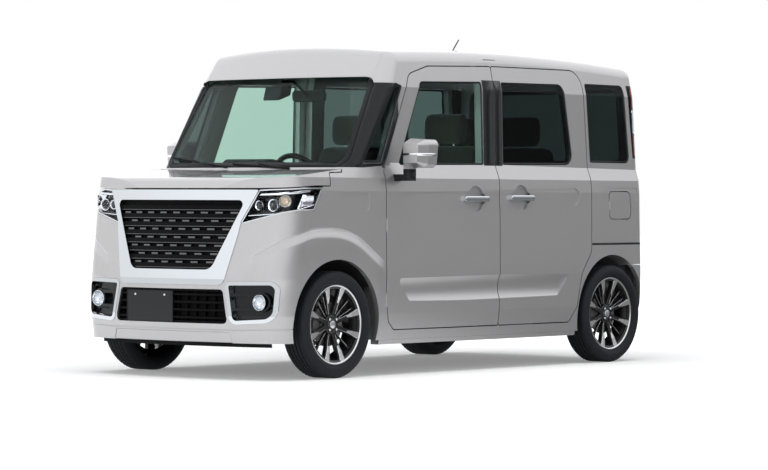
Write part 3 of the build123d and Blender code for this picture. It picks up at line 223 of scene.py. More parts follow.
# %% [markdown]
# Every finish starts from the same small kit: a function that makes a material
# with one Principled shader, and shader groups for grain and for colour that wanders.
# A group gives out only values that change over the surface, so the shader itself
# stays in each material.

# %% A kit for finishes
VALUE, COLOUR = "NodeSocketFloat", "NodeSocketColor"


def new_group(name, inputs, outputs):
    g = bpy.data.node_groups.new(name, "ShaderNodeTree")
    for label, kind in inputs:
        g.interface.new_socket(name=label, in_out="INPUT", socket_type=kind)
    for label, kind in outputs:
        g.interface.new_socket(name=label, in_out="OUTPUT", socket_type=kind)
    return g, g.nodes.new("NodeGroupInput").outputs, g.nodes.new("NodeGroupOutput").inputs


# Fine noise that gives a bump height and a small change in roughness.
grain, given, result = new_group("grain", [("Scale", VALUE), ("Roughness", VALUE), ("Spread", VALUE)],
                                 [("Height", VALUE), ("Roughness", VALUE)])
spot = grain.nodes.new("ShaderNodeTexCoord").outputs["Object"]
fine = add_node(grain, "ShaderNodeTexNoise", in_Vector=spot, in_Scale=given["Scale"], in_Detail=4.0)
wide = add_node(grain, "ShaderNodeTexNoise", in_Vector=spot, in_Scale=7.0, in_Detail=3.0)
change = math_node(grain, "SUBTRACT", wide.outputs["Fac"], 0.5)
grain.links.new(fine.outputs["Fac"], result["Height"])
grain.links.new(math_node(grain, "MULTIPLY_ADD", change, given["Spread"], given["Roughness"]), result["Roughness"])

# Colour that wanders a little between two shades, for dust and age.
shade, given, result = new_group("shade", [("Colour", COLOUR), ("Second", COLOUR), ("Scale", VALUE),
                                           ("Amount", VALUE)], [("Colour", COLOUR)])
spot = shade.nodes.new("ShaderNodeTexCoord").outputs["Object"]
cloud = add_node(shade, "ShaderNodeTexNoise", in_Vector=spot, in_Scale=given["Scale"], in_Detail=5.0,
                 in_Roughness=0.6)
amount = math_node(shade, "MULTIPLY", cloud.outputs["Fac"], given["Amount"])
both = add_node(shade, "ShaderNodeMix", data_type="RGBA", in_Factor=amount, in_A=given["Colour"],
                in_B=given["Second"])
shade.links.new(both.outputs["Result"], result["Colour"])

print("shader groups", grain.name, "and", shade.name)
BUMP_HEIGHT = 0.0006


def finish(name, colour, second=None, roughness=0.5, metallic=0.0, grain_scale=900.0, depth=0.15, spread=0.1,
           shade_scale=5.0, shade_amount=0.5, **sockets):
    """A material between two shades of colour. depth is its bump and spread its change of roughness."""
    m = bpy.data.materials.new(name)
    m.use_nodes = True
    t = m.node_tree
    shader = t.nodes["Principled BSDF"].inputs
    shader["Metallic"].default_value = metallic
    for key, value in sockets.items():
        shader[key.replace("_", " ")].default_value = value
    c = add_node(t, "ShaderNodeGroup", node_tree=shade, in_Colour=(*colour, 1),
                 in_Second=(*(second or [x * 0.8 for x in colour]), 1), in_Scale=shade_scale, in_Amount=shade_amount)
    g = add_node(t, "ShaderNodeGroup", node_tree=grain, in_Scale=grain_scale, in_Roughness=roughness,
                 in_Spread=spread)
    t.links.new(c.outputs["Colour"], shader["Base Color"])
    t.links.new(g.outputs["Roughness"], shader["Roughness"])
    if depth:
        b = add_node(t, "ShaderNodeBump", in_Strength=depth, in_Distance=BUMP_HEIGHT, in_Height=g.outputs["Height"])
        t.links.new(b.outputs["Normal"], shader["Normal"])
    return m


# %% [markdown]
# Silver metallic paint is aluminium flakes under clear lacquer. The flakes are
# a cell pattern far too fine to see one by one, and each cell is a little
# lighter or darker, so the paint sparkles slightly and its highlight spreads.

# %% Paint
paint = finish("silver_paint", (0.47, 0.465, 0.47), (0.445, 0.445, 0.455), roughness=0.36, metallic=0.7, depth=0.0,
               spread=0.03, Coat_Weight=1.0, Coat_Roughness=0.03, Specular_IOR_Level=0.5)
tree = paint.node_tree
shader = tree.nodes["Principled BSDF"].inputs
spot = tree.nodes.new("ShaderNodeTexCoord").outputs["Object"]
flakes = add_node(tree, "ShaderNodeTexVoronoi", in_Vector=spot, in_Scale=1400.0)
tone = add_node(tree, "ShaderNodeSeparateColor", in_0=flakes.outputs["Color"])
bright = add_node(tree, "ShaderNodeMapRange", in_Value=tone.outputs[0], in_To_Min=0.90, in_To_Max=1.10)
flake_mix = add_node(tree, "ShaderNodeMix", data_type="RGBA", blend_type="MULTIPLY", in_Factor=1.0,
                     in_A=shader["Base Color"].links[0].from_socket, in_B=bright.outputs[0])
tree.links.new(flake_mix.outputs["Result"], shader["Base Color"])
print("nodes in the paint", len(tree.nodes))

# %% [markdown]
# The shoulder crease that runs from the front doors over the wheel and down the nose is a
# shallow step in the paint's surface. Its height over the ground is drawn against the
# distance forward less the distance out from the centre line.

# %% Shoulder crease
CREASE = [(0.05, 0.600), (0.096, 0.626), (0.179, 0.679), (0.294, 0.743), (0.424, 0.776), (0.536, 0.781),
          (0.640, 0.776), (0.742, 0.751), (0.817, 0.736), (0.926, 0.705), (0.997, 0.679), (1.068, 0.647),
          (1.15, 0.615)]
CREASE_ENDS = (0.56, 0.60)  # heights before the first point and after the last
CREASE_REACH = 1.2
CREASE_STEP = 0.012  # how far the wing stands out below the crease, in metres

axes = add_node(tree, "ShaderNodeSeparateXYZ", in_0=spot).outputs
along = math_node(tree, "SUBTRACT", axes["X"], math_node(tree, "ABSOLUTE", axes["Y"]))
curve = add_node(tree, "ShaderNodeFloatCurve", in_Value=math_node(tree, "DIVIDE", along, CREASE_REACH))
line = curve.mapping.curves[0]
line.points[0].location, line.points[1].location = (0.0, CREASE_ENDS[0]), (1.0, CREASE_ENDS[1])
for reach, height in CREASE:
    line.points.new(reach / CREASE_REACH, height)
curve.mapping.update()
below = math_node(tree, "SUBTRACT", curve.outputs[0], axes["Z"])


def rise_and_fall(value, start, top, turn, end, height=1.0):
    """From 0 to height between start and top, and back to 0 between turn and end."""
    return math_node(tree, "MULTIPLY", ramp_node(tree, value, start, top, 0.0, height),
                     ramp_node(tree, value, turn, end, 1.0, 0.0))


step = rise_and_fall(below, 0.0, 0.05, 0.06, 0.30)
groove = rise_and_fall(below, -0.008, 0.0, 0.0, 0.008, 0.25)
ends = rise_and_fall(along, 0.03, 0.13, 1.04, 1.15)
crease = add_node(tree, "ShaderNodeBump", in_Strength=1.0, in_Distance=CREASE_STEP,
                  in_Height=math_node(tree, "MULTIPLY", math_node(tree, "SUBTRACT", step, groove), ends))
for socket in ("Normal", "Coat Normal"):
    tree.links.new(crease.outputs["Normal"], shader[socket])
print("nodes in the paint with the crease", len(tree.nodes))

# %% [markdown]
# The rest of the car is plastic, rubber, cast metal and steel. Each is one call of
# the same function: dark and rough for plastics and rubber, bright and metallic for
# chrome and cut alloy, with a grain as coarse as the real thing's.

# %% Other finishes
chrome = finish("chrome", (0.62, 0.65, 0.68), (0.56, 0.59, 0.62), roughness=0.07, metallic=1.0, depth=0.0,
                spread=0.04)
satin_black = finish("satin_black", (0.009, 0.010, 0.012), (0.014, 0.015, 0.017), roughness=0.42, depth=0.25,
                     grain_scale=1500, Specular_IOR_Level=0.22)
gloss_black = finish("gloss_black", (0.006, 0.007, 0.009), (0.009, 0.010, 0.012), roughness=0.14, depth=0.0,
                     Specular_IOR_Level=0.30)
rough_black = finish("rough_black", (0.010, 0.010, 0.011), (0.020, 0.020, 0.019), roughness=0.8, depth=0.4,
                     grain_scale=600, Specular_IOR_Level=0.15)
rubber = finish("tyre_rubber", (0.010, 0.012, 0.016), (0.018, 0.020, 0.024), roughness=0.7, depth=0.3,
                grain_scale=800, shade_scale=14.0, Specular_IOR_Level=0.25)
alloy_black = finish("alloy_black", (0.010, 0.010, 0.011), (0.014, 0.014, 0.015), roughness=0.25, depth=0.0,
                     Specular_IOR_Level=0.4)
machined = finish("machined_alloy", (0.72, 0.72, 0.73), (0.62, 0.62, 0.63), roughness=0.22, metallic=1.0,
                  depth=0.10, grain_scale=2500)
slat_grey = finish("slat_grey", (0.15, 0.155, 0.16), (0.12, 0.125, 0.13), roughness=0.30, metallic=0.8, depth=0.0)
# Near-black and barely glossy: black plastic for the grille and the mouth, made darker still as painted shade for
# their recesses.
deep_black = finish("deep_black", (0.0030, 0.0030, 0.0035), (0.0045, 0.0045, 0.0050), roughness=0.6, depth=0.2,
                    Specular_IOR_Level=0.07)
underbody = finish("underbody_grey", (0.09, 0.09, 0.095), (0.05, 0.05, 0.05), roughness=0.6, depth=0.3)
cast_metal = finish("cast_metal", (0.22, 0.22, 0.22), (0.14, 0.13, 0.12), roughness=0.6, metallic=0.8, depth=0.6,
                    grain_scale=350)
chassis = finish("chassis_black", (0.03, 0.03, 0.03), (0.05, 0.045, 0.04), roughness=0.5, depth=0.3)
steel = finish("exhaust_steel", (0.45, 0.43, 0.41), (0.30, 0.26, 0.22), roughness=0.4, metallic=1.0, depth=0.2)
bare_aluminium = finish("bare_aluminium", (0.55, 0.55, 0.56), roughness=0.45, metallic=0.9, depth=0.2)
cabin = finish("cabin_plastic", (0.030, 0.030, 0.032), (0.045, 0.044, 0.043), roughness=0.62, depth=0.6,
               grain_scale=1100)
print("finishes", len(bpy.data.materials))

# %% [markdown]
# Car glass is a thin tinted sheet. Here it is a clear shader tinted green, and
# darker behind the front doors, with full transmission and a smooth surface.

# %% Glass
def glass(name, tint, roughness=0.0, ior=1.5):
    return finish(name, tint, [x * 0.94 for x in tint], roughness=roughness, depth=0.0, spread=0.0,
                  shade_amount=0.3, Transmission_Weight=1.0, IOR=ior)


clear_glass = glass("front_glass", (0.62, 0.78, 0.72), ior=1.15)
dark_glass = glass("privacy_glass", (0.10, 0.13, 0.13), ior=1.15)
lens = glass("clear_lens", (0.93, 0.95, 0.97), ior=1.12)
tail_lens = glass("tail_lens", (0.75, 0.80, 0.86), roughness=0.05, ior=1.2)
print("finishes with glass", len(bpy.data.materials))

# %% [markdown]
# The frame's own nodes keep their shapes and only take a finish each, so a
# short table of name beginnings says what each is made of.

# %% Dress the nodes
FINISH_OF = (  # the first row with a fitting beginning counts, and the rest of the car is painted
    (clear_glass, "windscreen front_door_glass"), (dark_glass, "side_glass tailgate_glass"), (lens, "headlamps"),
    (tail_lens, "tail_lamps"), (chrome, "grille_frame fog_bezels"), (deep_black, "grille lower_grille"),
    (gloss_black, "lamp_cases fog_lamps"), (satin_black, "cowl antenna"), (rough_black, "arch_liners fuel_tank"),
    (rubber, "tyre_"), (alloy_black, "wheel_"), (underbody, "floor_pan front_structure"),
    (bare_aluminium, "radiator"), (cast_metal, "engine knuckle"), (chassis, "front_suspension rear_axle"),
    (steel, "exhaust"), (cabin, "dashboard steering_wheel seats"),
)
for name, node in nodes.items():
    node.data.materials.clear()
    node.data.materials.append(next((m for m, starts in FINISH_OF if name.startswith(tuple(starts.split()))), paint))
roof = nodes["roof_panel"].data.polygons
print("dressed", len(nodes), "nodes; smooth faces in the roof:", sum(p.use_smooth for p in roof), "of", len(roof))

# %% [markdown]
# A shape here is a pair: its points, and its faces as rows of point numbers. Most
# are skins over rings of points. `lathe` turns a profile round a line, `prism`
# carries an outline across, and `join` puts several shapes into one. `make` turns a
# shape into an object that rides on a body and stays at the origin.

# %% Shapes
def skin(rings, closed=False):
    """Closed rings of points joined each to the next. It ends flat, or where it began if closed."""
    n, count = len(rings[0]), len(rings)
    faces = []
    for i in range(count if closed else count - 1):
        here, there = i * n, (i + 1) % count * n
        faces += [(here + k, here + (k + 1) % n, there + (k + 1) % n, there + k) for k in range(n)]
    if not closed:
        faces += [tuple(range(n))[::-1], tuple(range((count - 1) * n, count * n))]
    return [tuple(p) for ring in rings for p in ring], faces


def lathe(profile, centre, ahead=(1, 0, 0), first=(0, 1, 0), steps=48):
    """A closed profile of (radius, ahead) turned round a line through centre, starting at first."""
    ahead, first = Vector(ahead).normalized(), Vector(first).normalized()
    second = ahead.cross(first)
    turns = [2 * math.pi * i / steps for i in range(steps)]
    return skin([[Vector(centre) + far * ahead + r * (math.cos(a) * first + math.sin(a) * second)
                  for r, far in profile] for a in turns], closed=True)


def prism(outline, low, high):
    """A flat outline of 3-D points carried from offset low to offset high."""
    return skin([[Vector(p) + Vector(shift) for p in outline] for shift in (low, high)])


def slab(outline, half):
    """An upright side view of 3-D points carried half across each way."""
    return prism(outline, (0, -half, 0), (0, half, 0))


def join(*shapes):
    points, faces = [], []
    for p, f in shapes:
        faces += [tuple(i + len(points) for i in face) for face in f]
        points += p
    return points, faces


def new_object(name, points, edges, faces):
    mesh = bpy.data.meshes.new(name)
    mesh.from_pydata(points, edges, faces)
    obj = bpy.data.objects.new(name, mesh)
    bpy.context.collection.objects.link(obj)
    return obj


def face_outward(mesh, merge=0.0):
    b = bmesh.new()
    b.from_mesh(mesh)
    if merge:
        bmesh.ops.remove_doubles(b, verts=b.verts, dist=merge)
    bmesh.ops.recalc_face_normals(b, faces=b.faces)
    b.to_mesh(mesh)
    b.free()


MERGE_WITHIN = 1e-6
BEVEL_ABOVE, SHARP_ABOVE = math.radians(35), math.radians(38)


def make(name, shape, material, body="car_body", smooth=True, bevel=0.0):
    obj = new_object(name, shape[0], [], shape[1])
    mesh = obj.data
    mesh.materials.append(material)
    face_outward(mesh, merge=MERGE_WITHIN)
    if bevel:
        mod = obj.modifiers.new("bevel", "BEVEL")
        mod.width, mod.segments, mod.limit_method, mod.angle_limit = bevel, 2, "ANGLE", BEVEL_ABOVE
        mod.harden_normals = smooth
    if smooth:
        mesh.shade_smooth()
        if not bevel:
            mesh.set_sharp_from_angle(angle=SHARP_ABOVE)
    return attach(obj, body)


square = [(1, 0), (2, 0), (2, 1), (1, 1)]
print("a square lathed in 12 steps has", len(lathe(square, (0, 0, 0), steps=12)[1]), "faces")

# %% [markdown]
# Some shapes repeat many times, such as tread blocks, spokes and grille cells.
# Geometry Nodes groups lay them out: one turns copies round an axle, the other
# stands them along a line. Named inputs say how many or how far apart, and the
# result is kept as plain geometry.

# %% Repeats
def layout_group(name, inputs):
    """An empty Geometry Nodes group with these inputs, and its given and resulting sockets."""
    g = bpy.data.node_groups.new(name, "GeometryNodeTree")
    for label, kind in (("Geometry", "Geometry"), *inputs, ("Finish", "Material")):
        g.interface.new_socket(name=label, in_out="INPUT", socket_type="NodeSocket" + kind)
    g.interface.new_socket(name="Geometry", in_out="OUTPUT", socket_type="NodeSocketGeometry")
    return g, g.nodes.new("NodeGroupInput").outputs, g.nodes.new("NodeGroupOutput").inputs


def stand_on(group, given, result, points, item, rotation):
    """Ends a group: the item on every point, as real geometry in the given finish."""
    copies = add_node(group, "GeometryNodeInstanceOnPoints", in_Points=points, in_Instance=item,
                      in_Rotation=rotation)
    real = add_node(group, "GeometryNodeRealizeInstances", in_0=copies.outputs[0])
    covered = add_node(group, "GeometryNodeSetMaterial", in_Geometry=real.outputs[0], in_Material=given["Finish"])
    group.links.new(covered.outputs[0], result[0])


def lay_out(group, obj, body, **inputs):
    mod = obj.modifiers.new("repeat", "NODES")
    mod.node_group = group
    for socket in group.interface.items_tree:
        if socket.name in inputs:
            mod[socket.identifier] = inputs[socket.name]
    ready = bpy.data.meshes.new_from_object(obj.evaluated_get(bpy.context.evaluated_depsgraph_get()))
    obj.modifiers.clear()
    obj.data = ready
    face_outward(ready)
    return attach(obj, body)


round_axle, given, result = layout_group("round_the_axle", (("Count", "Int"), ("Centre", "Vector"),
                                                            ("Start", "Float")))
ring = add_node(round_axle, "GeometryNodeMeshCircle", in_Vertices=given["Count"])
gathered = add_node(round_axle, "GeometryNodeSetPosition", in_Geometry=ring.outputs[0], in_Position=given["Centre"])
share = math_node(round_axle, "DIVIDE", round_axle.nodes.new("GeometryNodeInputIndex").outputs[0], given["Count"])
angle = math_node(round_axle, "MULTIPLY_ADD", share, -2 * math.pi, given["Start"])
turn = add_node(round_axle, "ShaderNodeCombineXYZ", in_Y=angle)
stand_on(round_axle, given, result, gathered.outputs[0], given["Geometry"], turn.outputs[0])

along_line, given, result = layout_group("along_a_line", (("Shape", "Object"), ("Spacing", "Float")))
as_curve = add_node(along_line, "GeometryNodeMeshToCurve", in_0=given["Geometry"])
even = add_node(along_line, "GeometryNodeResampleCurve", mode="LENGTH", in_Curve=as_curve.outputs[0],
                in_Length=given["Spacing"])
item = add_node(along_line, "GeometryNodeObjectInfo", transform_space="ORIGINAL", in_Object=given["Shape"])
tangent = along_line.nodes.new("GeometryNodeInputTangent").outputs[0]
facing = add_node(along_line, "FunctionNodeAlignRotationToVector", axis="Y", pivot_axis="Z", in_Vector=tangent)
stand_on(along_line, given, result, even.outputs[0], item.outputs["Geometry"], facing.outputs[0])
print("layout groups", round_axle.name, "and", along_line.name)


def around(name, shape, centre, count, material, body, start=0.0):
    """One shape, modelled about an axle at the origin, repeated round an axle at centre."""
    return lay_out(round_axle, new_object(name, shape[0], [], shape[1]), body, Count=count, Centre=tuple(centre),
                   Start=start, Finish=material)


def row_of(name, paths, shape, spacing, material):
    """One small shape stood at even steps along each path."""
    item = new_object(name + "_item", shape[0], [], shape[1])
    points, edges = [], []
    for path in paths:
        edges += [(len(points) + i, len(points) + i + 1) for i in range(len(path) - 1)]
        points += [tuple(p) for p in path]
    obj = lay_out(along_line, new_object(name, points, edges, []), "car_body", Shape=item, Spacing=spacing,
                  Finish=material)
    bpy.data.objects.remove(item)
    return obj


# %% [markdown]
# A tyre is a smooth carcass with a tread of blocks. The carcass is lathed, and
# one small group of blocks is repeated at equal turns round the axle.

# %% Tyres
TYRE_RADIUS, HALF_TRACK = 0.281, 0.645
AXLES = {"front": 1.160, "rear": -1.300}
CORNERS = [(f"{end}_{hand}", (x, out * HALF_TRACK, TYRE_RADIUS), out) for end, x in AXLES.items()
           for hand, out in HANDS]
TYRE_PROFILE = [(0.2086, 0.0560), (0.2105, 0.0600), (0.2150, 0.0690), (0.2220, 0.0765), (0.2310, 0.0812),
                (0.2400, 0.0822), (0.2412, 0.0812), (0.2430, 0.0812), (0.2442, 0.0820), (0.2550, 0.0808),
                (0.2640, 0.0775), (0.2720, 0.0715), (0.2765, 0.0640), (0.2782, 0.0600), (0.2790, 0.0500),
                (0.2795, 0.0385), (0.2740, 0.0375), (0.2740, 0.0325), (0.2798, 0.0315), (0.2802, 0.0165),
                (0.2745, 0.0155), (0.2745, 0.0095), (0.2803, 0.0085)]
TYRE_PROFILE += [(r, -a) for r, a in TYRE_PROFILE[::-1]]
TREAD_STEPS, TREAD_FLOOR = 60, 0.2765
TREAD_TURN = 2 * math.pi / TREAD_STEPS
TREAD_ROWS = (  # from and to across the tyre, length and lean as shares of a step
    (0.039, 0.0595, 0.72, 0.25), (0.0165, 0.0315, 0.80, 0.20), (0.0002, 0.0085, 0.86, 0.0),
)


def on_axle(profile, centre, out, steps=96):
    """A closed profile of (radius, outward) turned round a wheel's axle."""
    return lathe(profile, centre, (0, out, 0), (1, 0, 0), steps)


def tread_block(near, far, length, lean):
    corners = ((0, near), (length, near), (length + lean, far), (lean, far))
    return skin([[(r * math.sin(a * TREAD_TURN), across, r * math.cos(a * TREAD_TURN)) for a, across in corners]
                 for r in (TREAD_FLOOR, TYRE_RADIUS - 0.0001)])


tread = join(*[tread_block(side * near, side * far, length, lean) for near, far, length, lean in TREAD_ROWS
               for side in (1, -1)])
for corner, centre, out in CORNERS:
    body = f"wheel_{corner}_body"
    carcass = make(f"carcass_{corner}", on_axle(TYRE_PROFILE, centre, out, 128), rubber, body)
    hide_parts(f"tyre_{corner}")
    around(f"tread_{corner}", tread, centre, TREAD_STEPS, rubber, body)
print("tread blocks", TREAD_STEPS * 2 * len(TREAD_ROWS))

# %% [markdown]
# The wheels are black cast alloy, and their lips are cut bright. The rim, the lip, the
# hub, its plain cap and the brake disc behind them are all round, so each is one
# profile turned round the axle.

# %% Rims, hubs and discs
RIM_PROFILE = [(0.2080, 0.0640), (0.2085, 0.0615), (0.2080, 0.0585), (0.1990, 0.0560), (0.1915, 0.0440),
               (0.1770, 0.0240), (0.1760, 0.0), (0.1760, -0.0340), (0.1905, -0.0460), (0.2080, -0.0580),
               (0.2080, -0.0640), (0.1850, -0.0460), (0.1710, -0.0320), (0.1705, 0.0), (0.1710, 0.0180),
               (0.1850, 0.0400), (0.1880, 0.0540), (0.1930, 0.0575), (0.2000, 0.0600), (0.2040, 0.0635)]
LIP_PROFILE = [(0.2087, 0.0600), (0.2082, 0.0645), (0.2060, 0.0652), (0.2030, 0.0642), (0.2000, 0.0618),
               (0.1990, 0.0606), (0.2005, 0.0596)]
HUB_PROFILE = [(0.052, 0.012), (0.052, 0.030), (0.046, 0.035), (0.030, 0.036), (0.027, 0.034), (0.0225, 0.034),
               (0.0225, 0.012)]
CAP_PROFILE = [(0.0222, 0.030), (0.0222, 0.040), (0.0200, 0.0435), (0.0120, 0.0455), (0.0004, 0.0460),
               (0.0004, 0.030)]
DISC_PROFILE = [(0.116, -0.006), (0.116, 0.006), (0.070, 0.006), (0.068, 0.014), (0.024, 0.014), (0.024, -0.020),
                (0.045, -0.020), (0.045, -0.006)]
for corner, centre, out in CORNERS:
    body = f"wheel_{corner}_body"
    rim = make(f"rim_{corner}", on_axle(RIM_PROFILE, centre, out), alloy_black, body)
    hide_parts(f"wheel_{corner}")
    make(f"rim_lip_{corner}", on_axle(LIP_PROFILE, centre, out), machined, body)
    make(f"hub_{corner}", on_axle(HUB_PROFILE, centre, out, 64), alloy_black, body)
    make(f"centre_cap_{corner}", on_axle(CAP_PROFILE, centre, out, 48), machined, body)
    make(f"brake_disc_{corner}", on_axle(DISC_PROFILE, centre, out, 64), cast_metal, body)
print("round wheel pieces", count_named("rim_", "hub_", "centre_cap_", "brake_disc_"))

# %% [markdown]
# Two spokes side by side point to each quarter, with thinner ribs between the pairs.
# Their tips are cut bright, and thin bright lines run from the tips to the hub. One
# quarter is modelled, with a nut, and repeated four times round the axle.

# %% Spokes and nuts
# stations of a spoke: radius, half width, face, depth
BLADE = [(0.040, 0.0125, 0.034, 0.020), (0.080, 0.0110, 0.036, 0.022), (0.120, 0.0130, 0.043, 0.024),
         (0.155, 0.0175, 0.051, 0.026), (0.184, 0.0215, 0.0555, 0.026)]
TIP = [(0.118, 0.0030, 0.0440, 0.004), (0.130, 0.0080, 0.0468, 0.004), (0.150, 0.0125, 0.0514, 0.004),
       (0.172, 0.0155, 0.0552, 0.004), (0.1990, 0.0185, 0.0600, 0.004)]
LINE = [(0.060, 0.0011, 0.0366, 0.003), (0.090, 0.0011, 0.0392, 0.003), (0.125, 0.0011, 0.0452, 0.003)]
FINE_RIB = [(0.050, 0.0040, 0.026, 0.014), (0.120, 0.0035, 0.032, 0.014), (0.178, 0.0060, 0.044, 0.018)]
FINE_LINE = [(0.062, 0.0009, 0.0280, 0.002), (0.120, 0.0008, 0.0329, 0.002), (0.165, 0.0008, 0.0420, 0.002)]
SPOKE_TURN, RIB_TURNS = 18.0, (-45.0, 27.9)  # degrees from the middle of a pair
SPOKES = [(BLADE, side * SPOKE_TURN, 0.0) for side in (-1, 1)] + [(FINE_RIB, turn, 0.0) for turn in RIB_TURNS]
BRIGHT_CUTS = [(stations, side * SPOKE_TURN, side * shift)  # stations, degrees round, shift aside
               for stations, shift in ((TIP, 0.001), (LINE, 0.0085)) for side in (-1, 1)]
BRIGHT_CUTS += [(FINE_LINE, turn, 0.0) for turn in RIB_TURNS]
NUT_CIRCLE, NUT_RINGS = 0.0380, ((0.0085, 0.030), (0.0085, 0.047), (0.0045, 0.052))  # radius, outward


def spoke(stations, degrees, shift, out):
    """A blade over its stations, pointing up, moved aside, then turned round the axle."""
    rings = []
    for radius, half, face, depth in stations:
        edge = min(0.003, half * 0.4)
        rings.append([(-half, face - depth, radius), (-half, face - edge, radius), (-half + edge, face, radius),
                      (half - edge, face, radius), (half, face - edge, radius), (half, face - depth, radius)])
    points, faces = skin(rings)
    c, s = math.cos(math.radians(degrees)), math.sin(math.radians(degrees))
    return [((x + shift) * c + z * s, out * y, -(x + shift) * s + z * c) for x, y, z in points], faces


for corner, centre, out in CORNERS:
    body = f"wheel_{corner}_body"
    around(f"spokes_{corner}", join(*[spoke(*row, out) for row in SPOKES]), centre, 4, alloy_black, body)
    bright = join(*[spoke(*row, out) for row in BRIGHT_CUTS])
    around(f"spoke_tips_{corner}", bright, centre, 4, machined, body)
    turns = [math.radians(60 * k) for k in range(6)]
    nut = skin([[(r * math.cos(a), out * y, NUT_CIRCLE + r * math.sin(a)) for a in turns] for r, y in NUT_RINGS])
    around(f"nuts_{corner}", nut, centre, 4, chrome, body, start=math.radians(45))
print("spoke and nut pieces", count_named("spoke", "nuts_"))

# %% [markdown]
# The nose is bowed from side to side and leans back as it rises. One function
# gives its surface, so every trim piece can sit at a chosen depth behind it.

# %% The nose as a surface
NOSE_ROWS = [(0.166, 1.6820), (0.330, 1.6975), (0.520, 1.6860), (0.980, 1.6220), (1.050, 1.6120)]
NOSE_BOW = 2.350


def nose_x(y, z, depth=0.0):
    """How far forward the nose's surface is, at a place across and up, moved back by depth."""
    x = np.interp(z, [r[0] for r in NOSE_ROWS], [r[1] for r in NOSE_ROWS])
    return float(x) - depth - y * y / (2 * NOSE_BOW)


def on_nose(y, z, depth=0.0):
    return Vector((nose_x(y, z, depth), y, z))


def nose_band(half, z, height, near, far, steps=24):
    """A band across the nose at height z, between two depths behind its surface."""
    edges = ((-height / 2, near), (height / 2, near), (height / 2, far), (-height / 2, far))
    return skin([[on_nose(-half + 2 * half * i / steps, z + rise, depth) for rise, depth in edges]
                 for i in range(steps + 1)])


print("the nose leans back", round(nose_x(0, 0.568) - nose_x(0, 0.930), 3), "m over the grille's height")

# %% [markdown]
# The grille is eight dark slats in a bright frame. Each slat carries a thin bright
# line on its lower edge, and short bright cells stand between the slats in columns
# like brickwork.

# %% Grille
GRILLE_LOW, GRILLE_HIGH = (0.568, 0.281), (0.930, 0.455)  # height, half width
ROW_STEP = 0.043
ROWS = [0.588 + ROW_STEP * k for k in range(8)]
ROW_ENDS, LOW_ROW_ENDS = 0.010, 0.028  # how far each line stops short of the grille's side
LINE_DROP, LINE_HEIGHT, LINE_NEAR, LINE_FAR = 0.0105, 0.0024, 0.0075, 0.0105
CELL_DEPTH, CELL_CUT = 0.006, 0.002
CELL_HALF_LENGTH, CELL_HALF_HEIGHT = 0.023, 0.006
CELL_ENDS, CELL_DROP, CELL_BACK = 0.045, 0.004, 0.017


def grille_half(z):
    (z1, y1), (z2, y2) = GRILLE_LOW, GRILLE_HIGH
    return y1 + (y2 - y1) * (z - z1) / (z2 - z1)


lines = [nose_band(grille_half(z) - (ROW_ENDS if k else LOW_ROW_ENDS), z - LINE_DROP, LINE_HEIGHT, LINE_NEAR, LINE_FAR)
         for k, z in enumerate(ROWS)]
make("grille_lines", join(*lines), slat_grey, smooth=False)

h, d, e = CELL_HALF_HEIGHT, CELL_DEPTH, CELL_CUT
cell = slab([(-d, 0, -h), (-d, 0, h), (-e, 0, h), (0, 0, h - e), (0, 0, -h + e), (-e, 0, -h)], CELL_HALF_LENGTH)
cells = []
for k, z in enumerate(ROWS[:-1]):
    between = z + ROW_STEP / 2
    half = grille_half(between) - CELL_ENDS
    start = -half + (ROW_STEP if k % 2 else 0.0)
    cells.append([on_nose(y, between - CELL_DROP, CELL_BACK) for y in np.linspace(start, half, 40)])
grille_cells = row_of("grille_cells", cells, cell, 2 * ROW_STEP, slat_grey)
print("grille cells", len(grille_cells.data.polygons) // 8)

# %% [markdown]
# Below the grille sits the cooling mouth. Thin upright ribs stand behind its bars,
# and the blank number plate is screwed to a boss on one side of the middle.

# %% Lower mouth and plate
RIB_CORNERS = ((0.300, 0.022), (0.460, 0.022), (0.460, 0.0395), (0.300, 0.0395))  # height, depth
RIB_HALF, RIB_STEP = 0.0016, 0.060
ribs = [slab([on_nose(y, *corner) for corner in RIB_CORNERS], RIB_HALF) for y in np.arange(-0.36, 0.37, RIB_STEP)]
make("mouth_ribs", join(*ribs), deep_black, smooth=False)

PLATE_Y, PLATE_Z = -0.128, 0.373
PLATE_SIZE, PLATE_CORNER = (0.330, 0.165), 0.008
PLATE_FRONT = 0.0025  # from the plate's middle plane to its front face
SCREW_PLACES = ((-0.105, 0.060), (0.105, 0.060))  # across and up from the plate's centre
SCREW = [(0.0001, -0.004), (0.0062, -0.004), (0.0062, 0.0008), (0.0050, 0.0022), (0.0022, 0.0026),
         (0.0020, 0.0012), (0.0001, 0.0012)]


def rounded_face(x, y, z, width, height, radius, steps=6):
    """An upright rectangle across the car with rounded corners."""
    outline = []
    for quarter, (side, rise) in enumerate(((1, 1), (-1, 1), (-1, -1), (1, -1))):
        for i in range(steps + 1):
            a = math.radians(90 * quarter + 90 * i / steps)
            outline.append((x, y + side * (width / 2 - radius) + radius * math.cos(a),
                            z + rise * (height / 2 - radius) + radius * math.sin(a)))
    return outline


